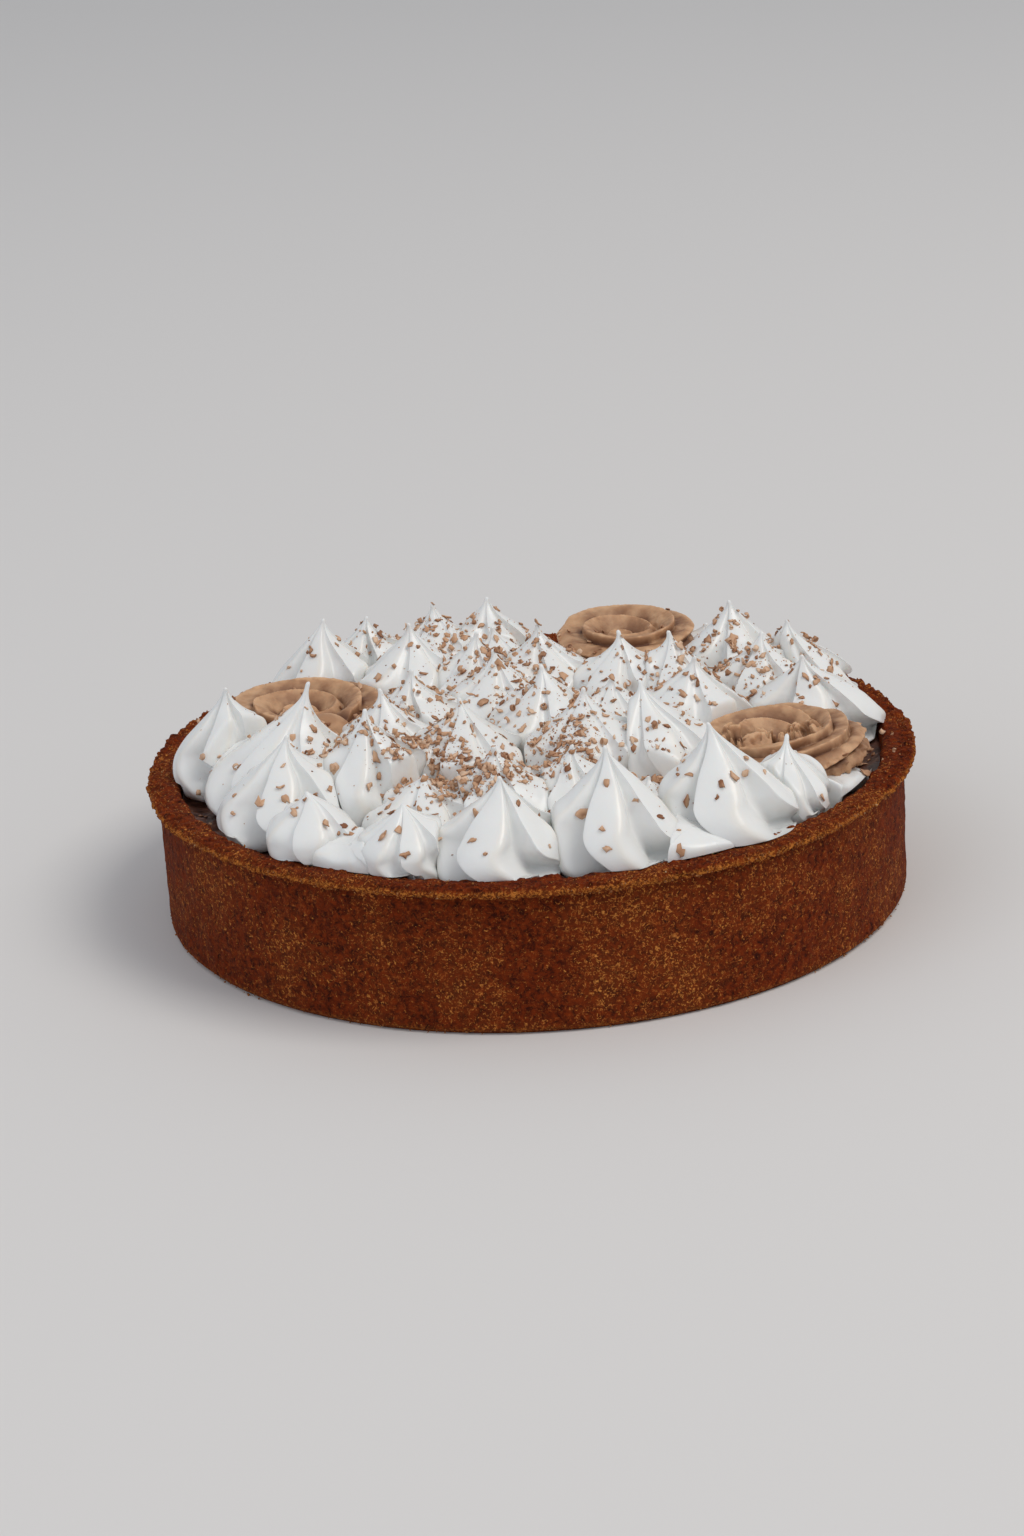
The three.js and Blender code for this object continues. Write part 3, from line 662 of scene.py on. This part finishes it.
# Rosettes: a star-nozzle ribbon coiled round, ridges winding outwards and down the side
rosetteShape = {
    "around": 360,
    "rows": 130,
    "bodyShare": 0.95,  # of the radius, left for the ridges to stand out over
    "topShare": 0.8,  # of the body, where the side begins to round over
    "sideFrom": 0.62,  # share of the rows that lie on top
    "footFrom": 0.86,  # share of the rows down to the widest ring
    "tuck": 0.2,  # of the radius, drawn in under the widest ring
    "middleDip": 3.6 * mm,
    "middleLevel": 0.62,  # height of the widest ring, as a share of the crest's
    "ridge": 2.6 * mm,
    "crestAt": 0.84,  # share across a round where its outer edge stands highest
    "level": 0.65,  # height of a ridge that lies on the cushion
    "climb": 0.75,  # power by which a round rises to its outer edge
    "wander": (19 * mm, 0.16),
    "rough": (1.7 * mm, 0.12 * mm),
    "dipEnd": 0.78,  # share of the top where the dip ends
    "shoulder": 1.2 * mm,  # how far the top sinks at its edge
    "contact": (0.3 * mm, 0.8 * mm),  # how far neighbours press in, and how softly
    "endReach": 3 * mm,  # how far the ribbon's end pushes the side out
    "crumbs": (2.1 * mm, 0.9 * mm),  # sizes of the lumps where the cream tore
    "tornDepth": 3.6 * mm,
    "tornLevel": 0.85,  # height of a lump that lies on the cushion
    "rimLength": 220,  # degrees over which the raised rim sinks away
    "crease": (1.0, 0.2, 2.2 * mm),  # round the ribbon's end: where, how wide and how deep
    "bulb": (28, 56, 0.8),  # rows and columns of the ribbon's end, and how tall it is for its width
    "ragged": 0.8 * mm,  # height of the crumbs along the tight side's outer edge
}
# dark is painted shade in the grooves; light is smeared paler cream and a painted highlight on the ridges
hazelnutLook = {
    "colour": "#C2936C", "light": "#DDB289", "dark": "#5A2F16",
    "smear": 6 * mm, "grain": 0.7 * mm, "roughness": 0.6,
}


def makeHazelnut():
    # Whipped hazelnut and milk chocolate cream, piped cold: dull and finely grainy, with smeared paler
    # patches. Painted shade darkens its grooves and a painted highlight lightens its ridges
    look = hazelnutLook
    material, tree, shader = newMaterial("hazelnut cream")
    place = addNode(tree, "TexCoord", {}, "Object")
    ridge = addNode(tree, "Attribute", {}, "Fac", attribute_name="ridge")
    paintedGrooveShade = addNode(tree, "Mix", {0: ridge, 6: linear(look["dark"]), 7: linear(look["colour"])}, **forColours)
    smear = addNode(tree, "TexNoise", {"Vector": place, "Scale": 1 / look["smear"], "Detail": 3})
    share = addNode(tree, "MapRange", {"Value": smear, "From Min": 0.42, "From Max": 0.66, "To Max": 0.7})
    high = addNode(tree, "MapRange", {"Value": ridge, "From Min": 0.82, "From Max": 1.05, "To Max": 0.8})
    paler = addNode(tree, "Math", {0: share, 1: high}, operation="MAXIMUM")
    colour = addNode(tree, "Mix", {0: paler, 6: paintedGrooveShade, 7: linear(look["light"])}, **forColours)
    grain = addNode(tree, "TexNoise", {"Vector": place, "Scale": 1 / look["grain"], "Detail": 3})
    bump = addNode(tree, "Bump", {"Height": grain, "Strength": 0.35, "Distance": 0.3 * mm})
    feed(tree, shader, {"Base Color": colour, "Normal": bump, "Roughness": look["roughness"],
                        "Subsurface Weight": 0.12, "Subsurface Scale": 1,
                        "Subsurface Radius": (2.2 * mm, 1.2 * mm, 0.8 * mm)})
    return material


def makeBulb(end):
    # A ball drawn flatter, from its foot up, with a little of the cream's roughness
    x, y, reachOut, level = [value * mm for value in end]
    rows, columns, tall = rosetteShape["bulb"]
    rise = np.linspace(-0.5, 0.5, rows + 2)[1:-1, None] * math.pi
    around = np.arange(columns) * fullTurn / columns
    flat = polar(np.cos(rise), around, np.sin(rise))
    size = reachOut * (1 + 0.05 * noise(flat, 0.9, 2) * np.cos(rise))
    middle = np.array([x, y, level - tall * reachOut])
    points = middle + flat * size[..., None] * np.array([1, 1, tall])
    return turnedGrid(points, middle - [0, 0, tall * reachOut], middle + [0, 0, tall * reachOut])


def makeRosette(name, piped, limits, material):
    # A low round cushion with a dip in its middle, moved along its normal by ridges that wind
    # outwards one spacing each turn. Lumps tear it where the cream was cold, and its ribbon
    # ends in a bulb set in a crease.
    shape, values, here = rosetteShape, rosettes[name], piped[name]
    foot, top, size = here["foot"], here["tip"][2], shape["bodyShare"] * here["radius"]
    around = np.arange(shape["around"]) * fullTurn / shape["around"]
    angle = math.radians(values["turn"]) + around
    share = np.linspace(1, 0.02, shape["rows"])[:, None]
    onTop = np.clip(share / shape["sideFrom"], 0, 1)
    side = np.clip((share - shape["sideFrom"]) / (shape["footFrom"] - shape["sideFrom"]), 0, 1)
    under = np.clip((share - shape["footFrom"]) / (1 - shape["footFrom"]), 0, 1)
    inner = shape["topShare"]
    widest = inner * onTop + (1 - inner) * np.sin(0.5 * math.pi * side)
    widest -= shape["tuck"] * smoothStep(0, 0.6, under)
    crest = top - shape["level"] * shape["ridge"]
    middle = foot[2] + shape["middleLevel"] * (crest - foot[2])
    dip = shape["middleDip"] * np.cos(0.5 * math.pi * np.minimum(onTop / shape["dipEnd"], 1)) ** 2
    shoulder = shape["shoulder"] * smoothStep(0.75, 1, onTop)
    height = np.where(side > 0, middle + (crest - shoulder - middle) * np.cos(0.5 * math.pi * side),
                      crest - dip - shoulder) - (middle - foot[2]) * under
    pushed = size * widest + 0 * angle
    if values["end"]:
        towards = math.atan2(values["end"][1] * mm - foot[1], values["end"][0] * mm - foot[0])
        pushed += shape["endReach"] * widest * np.exp(4 * (np.cos(angle - towards) - 1))
    reach = heldBack(pushed, angle, foot[:2] + 0 * share[..., None], foot, limits, *shape["contact"])
    flat = polar(reach, angle, height)
    flat[..., :2] += foot[:2]

    # Ridges by length along the profile, so that they keep their spacing down the side. The
    # rounds are circles whose middles move away from the tight side, one step each round.
    length = np.cumsum(np.hypot(np.gradient(size * widest[:, 0]), np.gradient(height[:, 0]))[::-1])[::-1]
    cell, amount = shape["wander"]
    turned = angle - math.radians(values["tight"])
    tightSide = smoothStep(0.25, 0.6, np.cos(turned))
    broad, tight = values["spacing"]
    mean, step = 0.5 * (broad + tight) * mm, 0.5 * (broad - tight) * mm
    outerRound = np.sqrt(mean ** 2 - (step * np.sin(turned)) ** 2)
    spacing = (mean ** 2 - step ** 2) / (step * np.cos(turned) + outerRound)
    wound = length[:, None] / spacing - around / fullTurn + amount * noise(flat, cell)
    across = wound - np.floor(wound)
    crestAt = shape["crestAt"]
    rising = np.clip(across / crestAt, 0, 1) ** shape["climb"]
    wave = np.where(across < crestAt, rising, smoothStep(1, crestAt, across))
    roughSize, roughHeight = shape["rough"]
    rough = noise(flat, roughSize, 3)
    lift = shape["ridge"] * (wave - shape["level"]) + roughHeight * rough

    # Torn places: lumps with steep sides, large and small, with pits between them
    large, small = shape["crumbs"]
    lumps = smoothStep(-0.12, 0.16, noise(flat, large)) + 0.4 * smoothStep(-0.15, 0.2, noise(flat, small))
    torn = 0 * lift
    for x, y, reachOut in values["torn"]:
        apart = np.hypot(flat[..., 0] / mm - x, flat[..., 1] / mm - y) / reachOut
        torn = np.maximum(torn, smoothStep(1, 0.7, apart))
    lift = lift * (1 - torn) + torn * shape["tornDepth"] * (lumps - shape["tornLevel"])
    # In the torn places the pits get painted shade and the lumps a painted highlight
    if values["torn"]:
        wave = wave * (1 - torn) + torn * (lumps - 0.3)
        lift += shape["ragged"] * tightSide * smoothStep(0.3, 0.7, side) * (lumps - 0.7) * (1 - under)
    lift = lift * smoothStep(1.0, 0.93, share)
    downProfile = np.gradient(np.stack([size * widest[:, 0], height[:, 0]], axis=-1), axis=0)
    downProfile /= np.maximum(np.linalg.norm(downProfile, axis=1, keepdims=True), 1e-9)
    outward, upward = downProfile[:, 1:], -downProfile[:, :1]
    points = flat + polar(lift * outward, angle, lift * upward)

    # The raised rim starts in a step and sinks away over most of a round
    start, rise = values["rim"]
    past = np.mod(math.radians(start) - angle, fullTurn) / math.radians(shape["rimLength"])
    rim = rise * mm * smoothStep(0, 0.06, past) * np.clip(1 - past, 0, 1) ** 0.5
    onRim = smoothStep(0.7, 0.9, onTop) * (1 - side ** 2)
    points[..., 2] += rim * onRim
    # The raised rim gets more of the painted highlight
    wave = wave + 0.12 * rim / mm * onRim * wave

    if values["end"]:
        x, y, reachOut, _ = values["end"]
        apart = np.hypot(points[..., 0] / mm - x, points[..., 1] / mm - y) / reachOut
        creaseAt, creaseWide, creaseDeep = shape["crease"]
        dent = creaseDeep * np.exp(-(np.maximum(apart - creaseAt, 0) / creaseWide) ** 2)
        points[..., 2] -= dent * (1 - side)
        # Painted shade in the crease round the ribbon's end
        wave = wave * (1 - dent / creaseDeep)
    points[..., 2] = np.maximum(points[..., 2], foot[2])
    grid, faces = turnedGrid(points, foot, [foot[0], foot[1], points[-1, :, 2].mean()])
    # The ridge attribute carries painted shade and highlight: lower in the grooves and pits, higher on the
    # ridges
    ridge = withPoles(np.clip(wave * (0.9 + 0.2 * rough), 0, 1.1), 0, 1)
    if values["end"]:
        bulb, bulbFaces = makeBulb(values["end"])
        faces += [face + len(grid) for face in bulbFaces]
        grid = np.vstack([grid, bulb])
        ridge = np.append(ridge, np.full(len(bulb), 0.75))
    piece = meshOf("piped_" + name, grid, faces, {"ridge": ridge}, material)
    return settle(piece, "hazelnut_cream", name)


# Milk chocolate shavings: chips, curls and dust, dropped from above on to what carries them
shavingShape = {
    "seed": 29,
    "chips": 2000,
    "curls": 330,
    "dust": 5200,
    "corners": 9,  # of a chip
    "paintedRimShade": 0.25,  # painted shade: tone taken off a chip's lower rim
    "past": 4 * mm,  # how far beyond the filling they fall
    "dustKept": 0.7,
    "dustGathers": 1.5,  # power of the density, so that dust lies where the chips are thick
    "everywhere": 0.13,  # density away from the drifts
    "offFront": 0.72,  # shares that slide off the front row, the lip and the rosettes
    "offLip": 0.9,
    "offRosettes": 0.93,
    "length": (1.2 * mm, 4.7 * mm),
    "thick": 0.26 * mm,
    "curlLength": (2.2 * mm, 4.6 * mm),
    "dustSize": (0.25 * mm, 1.15 * mm),
    # chips on the front kisses, as seen from the front: x, height and length in mm
    "placed": [
        (-15, 46, 3.2), (-14, 50, 3.8), (-4, 52, 3), (-6.5, 56, 5.2), (11, 48, 4.4), (15, 47, 2.6),
        (17, 55, 3.4), (16, 43, 2.8), (29, 47, 3), (24, 51, 3.4), (37, 52, 3.4), (36, 46, 4.4),
        (44, 51, 4), (47, 52, 5.2), (50, 51, 4), (33, 40, 3.8), (-44, 43, 5.4), (-50, 46, 4.2),
        (-48, 49, 3.8), (-66, 46, 4.4), (-57, 48, 3.4), (-36, 46, 3.8), (-32, 47, 4.2),
        (-31, 43, 3.4), (-23, 44, 3.2), (69, 41, 3.6),
    ],
    # where they lie thickest: x, y and spread in mm, and weight
    "drifts": [
        (-24, -34, 6.5, 1.7), (-13, -56, 7, 2.6), (7, -35, 6, 2.6), (28, -50, 7, 2.2), (-32, -46, 10, 1.1),
        (5, -47, 4, 1.6), (-46, -28, 5, 1.2), (10, 53, 14, 0.3), (62, 28, 14, 0.5), (-38, 2, 13, 0.5),
        (-6, 32, 11, 0.5), (29, 6, 11, 0.5), (47, 31, 10, 0.5), (-30, 62, 10, 0.8), (-2, 8, 10, 0.5),
    ],
}
# dull cut faces, each shaving a little lighter or darker
shavingLook = {"dark": "#8A5839", "colour": "#CFA27F", "light": "#E8C8AB", "middle": (0.5, 0.5),
               "roughness": 0.6, "gloss": 0.35}


def makeBits(name, look):
    # Small broken pieces, told apart by their tones: dark below the middle tones, light above
    material, tree, shader = newMaterial(name)
    tone = addNode(tree, "Attribute", {}, "Fac", attribute_name="tone")
    darkEnd, lightStart = look["middle"]
    lower = addNode(tree, "MapRange", {"Value": tone, "From Max": darkEnd})
    upper = addNode(tree, "MapRange", {"Value": tone, "From Min": lightStart})
    colour = linear(look["dark"])
    for share, key in ((lower, "colour"), (upper, "light")):
        colour = addNode(tree, "Mix", {0: share, 6: colour, 7: linear(look[key])}, **forColours)
    feed(tree, shader, {"Base Color": colour, "Roughness": look["roughness"],
                        "Specular IOR Level": look["gloss"]})
    return material


def surfaceOf(pieces):
    # One tree of all the pieces' faces, quads first, to cast rays on
    vertices, polygons, offset = [], [], 0
    for piece in pieces:
        mesh = piece.data
        corners = np.empty(len(mesh.loops), np.int32)
        starts, sides = np.empty((2, len(mesh.polygons)), np.int32)
        mesh.loops.foreach_get("vertex_index", corners)
        mesh.polygons.foreach_get("loop_start", starts)
        mesh.polygons.foreach_get("loop_total", sides)
        for count in (4, 3):
            polygons += (offset + corners[starts[sides == count][:, None] + np.arange(count)]).tolist()
        vertices += meshPoints(mesh).tolist()
        offset += len(mesh.vertices)
    return BVHTree.FromPolygons(vertices, polygons)


def density(x, y, piped):
    # Share of shavings kept at a place: few on the front row, almost none on the rosettes
    shape = shavingShape
    kept = shape["everywhere"] + 0 * x
    for driftX, driftY, spread, weight in shape["drifts"]:
        kept = kept + weight * np.exp(-((x / mm - driftX) ** 2 + (y / mm - driftY) ** 2) / (2 * spread ** 2))
    radius = np.hypot(x, y)
    frontRow = smoothStep(52 * mm, 64 * mm, radius) * smoothStep(-20 * mm, -45 * mm, y)
    kept = kept * (1 - shape["offFront"] * frontRow)
    kept = kept * (1 - shape["offLip"] * smoothStep(86 * mm, 91 * mm, radius))
    for name in rosettes:
        foot = piped[name]["foot"]
        near = np.hypot(x - foot[0], y - foot[1]) / piped[name]["radius"]
        kept = kept * (1 - shape["offRosettes"] * smoothStep(1.0, 0.8, near))
    return kept


def dropOn(tree, count, draw, kept, reach):
    # Seeded places under a vertical drop: points and normals where rays from above first hit
    densest, steepest = 3.5, 0.12  # the most that a density comes to, and a normal's least rise
    points, normals = [], []
    while len(points) < count:
        radius = reach * np.sqrt(draw.uniform(0, 1, count))
        angle = draw.uniform(0, fullTurn, count)
        x, y = radius * np.cos(angle), radius * np.sin(angle)
        chosen = draw.uniform(0, densest, count) < kept(x, y)
        for px, py in zip(x[chosen], y[chosen]):
            hit, normal, _, _ = tree.ray_cast(Vector((px, py, 0.2)), Vector((0, 0, -1)))
            if hit is not None and normal.z > steepest:
                points.append(hit)
                normals.append(normal)
    return np.array(points[:count]), np.array(normals[:count])


def layOn(shapes, points, normals, draw, tilt, sunk):
    # Puts each little shape on its point, turned at random about the normal, tilted at random
    count = len(points)
    lean = normals + tilt * draw.normal(0, 1, (count, 3))
    up = lean / np.linalg.norm(lean, axis=1, keepdims=True)
    side = np.cross(up, draw.normal(0, 1, (count, 3)))
    side /= np.linalg.norm(side, axis=1, keepdims=True)
    forward = np.cross(up, side)
    basis = np.stack([side, forward, up], axis=1)
    return (shapes @ basis + (points + normals * sunk[:, None])[:, None]).reshape(-1, 3)


def plates(lengths, widths, thick, corners, draw, curl):
    # Thin plates: a ring of uneven corners above and below, closed by a point in the middle of each
    count = len(lengths)
    around = np.arange(corners) * fullTurn / corners + draw.uniform(-0.3, 0.3, (count, corners))
    reach = draw.uniform(0.38, 1.0, (count, corners))
    x = 0.5 * lengths[:, None] * reach * np.cos(around)
    y = 0.5 * widths[:, None] * reach * np.sin(around)
    bend = curl[:, None] * (x / (0.5 * lengths[:, None])) ** 2
    low = np.stack([x, y, bend], axis=-1)
    high = np.stack([0.9 * x, 0.9 * y, bend + thick[:, None]], axis=-1)
    middle = np.zeros((count, 1, 3))
    top = middle + np.stack([0 * thick, 0 * thick, thick], axis=-1)[:, None]
    points = np.concatenate([low, high, middle, top], axis=1)
    index = np.arange(corners)
    beside = (index + 1) % corners
    sides = np.stack([index, beside, beside + corners, index + corners], axis=-1)
    bottom = np.stack([np.full(corners, 2 * corners), beside, index], axis=-1)
    cover = np.stack([np.full(corners, 2 * corners + 1), index + corners, beside + corners], axis=-1)
    offsets = np.arange(count)[:, None, None] * (2 * corners + 2)
    return points, [(part + offsets).reshape(-1, part.shape[1]) for part in (sides, bottom, cover)]


def ribbons(lengths, widths, thick, draw):
    # Curls: a thin strip rolled along an arc, one to one and a half rounds
    count, steps = len(lengths), 11
    share = np.linspace(0, 1, steps)
    turn = draw.uniform(2.2, 6.5, count)[:, None] * share
    radius = (lengths / 4)[:, None] * (1 - 0.35 * share)
    centre = np.stack([radius * np.sin(turn), 0 * turn, radius * (1 - np.cos(turn))], axis=-1)
    inward = np.stack([-np.sin(turn), 0 * turn, np.cos(turn)], axis=-1)
    half = (widths[:, None] * (0.35 + 0.15 * np.sin(math.pi * share)))[..., None] * np.array([0, 1, 0])
    depth = thick[:, None, None] * inward
    points = np.stack([centre - half, centre + half, centre + half + depth, centre - half + depth], axis=2)
    points = points.reshape(count, steps * 4, 3)
    index = np.arange(steps * 4).reshape(steps, 4)
    beside = np.roll(index, -1, axis=1)
    sides = np.stack([index[:-1], index[1:], beside[1:], beside[:-1]], axis=-1).reshape(-1, 4)
    ends = np.array([index[0], index[-1][::-1]])
    offsets = np.arange(count)[:, None, None] * (steps * 4)
    return points, [(sides + offsets).reshape(-1, 4), (ends + offsets).reshape(-1, 4)]


def makeShavings(tree, piped):
    # Chips, those on the front kisses placed one by one, then curls, then dust where they lie thick
    shape = shavingShape
    draw = np.random.default_rng(shape["seed"])
    material = makeBits("shaved milk chocolate", shavingLook)
    reach = innerRadius + shape["past"]

    def keep(x, y):
        return density(x, y, piped)

    def keepDust(x, y):
        return shape["dustKept"] * keep(x, y) ** shape["dustGathers"]

    points, normals = dropOn(tree, shape["chips"], draw, keep, reach)
    low, high = shape["length"]
    lengths = low + (high - low) * draw.beta(1.1, 2.2, shape["chips"])
    for x, z, size in shape["placed"]:
        hit, normal, _, _ = tree.ray_cast(Vector((x * mm, -0.2, z * mm)), Vector((0, 1, 0)))
        if hit is not None:
            points, normals = np.vstack([points, hit]), np.vstack([normals, normal])
            lengths = np.append(lengths, size * mm)
    count, corners = len(lengths), shape["corners"]
    widths = lengths * draw.uniform(0.4, 0.9, count)
    thick = shape["thick"] * draw.uniform(0.7, 1.6, count)
    local, faces = plates(lengths, widths, thick, corners, draw, lengths * draw.uniform(-0.1, 0.3, count))
    world = layOn(local, points, normals, draw, 0.28, 0.05 * mm + 0 * thick)
    tones = draw.normal(0.5, 0.22, count)[:, None] + draw.normal(0, 0.16, local.shape[:2])
    # Painted shade on each chip's lower rim
    tones[:, :corners] -= shape["paintedRimShade"]
    tones = np.clip(tones, 0, 1).ravel()
    settle(meshOf("chocolate_chips", world, faces, {"tone": tones}, material), "hazelnut_cream")

    count = shape["curls"]
    points, normals = dropOn(tree, count, draw, keep, reach)
    lengths = draw.uniform(*shape["curlLength"], count)
    local, faces = ribbons(lengths, draw.uniform(0.7, 1.5, count) * mm, 0.22 * mm + 0 * lengths, draw)
    world = layOn(local, points, normals, draw, 0.4, 0.1 * mm + 0 * lengths)
    tones = np.repeat(np.clip(draw.normal(0.5, 0.2, count), 0, 1), local.shape[1])
    settle(meshOf("chocolate_curls", world, faces, {"tone": tones}, material), "hazelnut_cream")

    count = shape["dust"]
    points, normals = dropOn(tree, count, draw, keepDust, reach)
    low, high = shape["dustSize"]
    lengths = low + (high - low) * draw.beta(1.2, 2.5, count)
    widths = lengths * draw.uniform(0.3, 0.9, count)
    local, faces = plates(lengths, widths, lengths * 0.3, 5, draw, 0 * lengths)
    world = layOn(local, points, normals, draw, 0.3, -0.05 * lengths)
    tones = np.repeat(np.clip(draw.normal(0.4, 0.25, count), 0, 1), local.shape[1])
    settle(meshOf("chocolate_dust", world, faces, {"tone": tones}, material), "hazelnut_cream")


# Pastry crumbs: on the lip, under its outer edge and along the base
crumbShape = {"seed": 5, "lip": 420, "edge": 800, "base": 260, "size": (0.3 * mm, 0.8 * mm)}
# dull and golden, the smallest nearly white with sugar
crumbLook = {"dark": "#6F3D1C", "colour": "#A66A35", "light": "#D9B98C", "middle": (0.6, 0.8),
             "roughness": 0.8, "gloss": 0.5}


def makeCrumbs():
    # Crumbs at seeded angles in three bands, each with its radii and heights in mm and its way out
    shape = crumbShape
    draw = np.random.default_rng(shape["seed"])
    bands = [
        (shape["lip"], (91.5, 97.4), (37.55, 37.6), (0, 1)),
        (shape["edge"], (97.6, 98.05), (35.3, 36.9), (1, -0.2)),
        (shape["base"], (95.1, 95.5), (0.35, 1.4), (1, 0.2)),
    ]
    points, normals, tones = [], [], []
    for count, radii, heights, (out, rise) in bands:
        angle = draw.uniform(0, fullTurn, count)
        radius = draw.uniform(*radii, count) * mm
        points.append(polar(radius, angle, draw.uniform(*heights, count) * mm))
        normals.append(polar(out, angle, rise))
        tones.append(draw.beta(2.5, 2.5, count))
    points, normals, tones = np.vstack(points), np.vstack(normals), np.concatenate(tones)
    normals /= np.linalg.norm(normals, axis=1, keepdims=True)
    low, high = shape["size"]
    lengths = low + (high - low) * draw.beta(1.3, 3, len(points))
    local, faces = plates(lengths, lengths * 0.85, lengths * 0.7, 6, draw, 0 * lengths)
    world = layOn(local, points, normals, draw, 0.3, -0.2 * lengths)
    tones = np.repeat(tones, local.shape[1])
    settle(meshOf("pastry_crumbs", world, faces, {"tone": tones},
                  makeBits("shortcrust crumb", crumbLook)), "pastry")


# Stage: pale floor, soft light and the camera at the photo's angle
stageLook = {
    "floor": "#DFDDDB",
    "world": "#E6E9EE",
    "worldStrength": 0.58,
    "key": {"at": (1.5, -0.7, 2.4), "size": 1.5, "power": 34, "colour": "#FFF9F2"},
    "fill": {"at": (-1.6, -1.4, 1.5), "size": 2.0, "power": 9, "colour": "#EEF3FF"},
}
cameraPlace = {
    "lens": 77.34,
    "distance": 861.27 * mm,
    "elevation": math.radians(19.629),
    "roll": math.radians(-3.440),
    "right": 4.877 * mm,
    "up": -30.43 * mm,
}


def makeLight(name, values):
    # A square soft light that faces the tart
    light = bpy.data.lights.new(name, "AREA")
    light.size = values["size"]
    light.energy = values["power"]
    light.color = linear(values["colour"])[:3]
    lamp = bpy.data.objects.new(name, light)
    lamp.location = values["at"]
    lamp.rotation_euler = (Vector((0, 0, 0.03)) - lamp.location).to_track_quat("-Z", "Y").to_euler()
    bpy.context.scene.collection.objects.link(lamp)


def makeStage():
    # A flat pale floor, an even sky and two lights
    look = stageLook
    material, tree, shader = newMaterial("matt paper floor")
    feed(tree, shader, {"Base Color": linear(look["floor"]), "Roughness": 0.9})
    half = 3.0  # of the floor's side
    corners = np.array([[-half, -half, 0], [half, -half, 0], [half, half, 0], [-half, half, 0]])
    floor = meshOf("floor", corners, [np.array([[0, 1, 2, 3]])], {}, material)
    world = bpy.data.worlds.new("soft studio")
    world.use_nodes = True
    feed(world.node_tree, world.node_tree.nodes["Background"],
         {"Color": linear(look["world"]), "Strength": look["worldStrength"]})
    bpy.context.scene.world = world
    makeLight("key light", look["key"])
    makeLight("fill light", look["fill"])


def makeCamera():
    # Looks along the ground's +Y and down by the elevation, turned about its own axis by the roll
    values = cameraPlace
    rise, roll = values["elevation"], values["roll"]
    forward = Vector((0, math.cos(rise), -math.sin(rise)))
    up = Vector((0, math.sin(rise), math.cos(rise)))
    right = Vector((1, 0, 0))
    across = right * math.cos(roll) + up * math.sin(roll)
    upright = up * math.cos(roll) - right * math.sin(roll)
    camera = bpy.data.cameras.new("camera")
    camera.lens = values["lens"]
    camera.sensor_width = 36
    holder = bpy.data.objects.new("camera", camera)
    place = -forward * values["distance"] - right * values["right"] - up * values["up"]
    holder.matrix_world = Matrix.Translation(place) @ Matrix((across, upright, -forward)).transposed().to_4x4()
    bpy.context.scene.collection.objects.link(holder)
    bpy.context.scene.camera = holder


bpy.context.scene.view_settings.view_transform = "Standard"
makeCamera()
makeStage()
print("stage and camera made")
carriers = [makeCase(), makeFilling()]
print("case and filling made")

piped = readPiped()
meringue = makeMeringue()
for number, name in enumerate(kisses):
    carriers.append(makeKiss(name, piped, limitsOf(name, piped), meringue, number + 1))
print("kisses piped:", len(kisses))
hazelnut = makeHazelnut()
for name in rosettes:
    carriers.append(makeRosette(name, piped, limitsOf(name, piped), hazelnut))
print("rosettes piped:", len(rosettes))

makeShavings(surfaceOf(carriers), piped)
makeCrumbs()
print("shavings and crumbs laid")
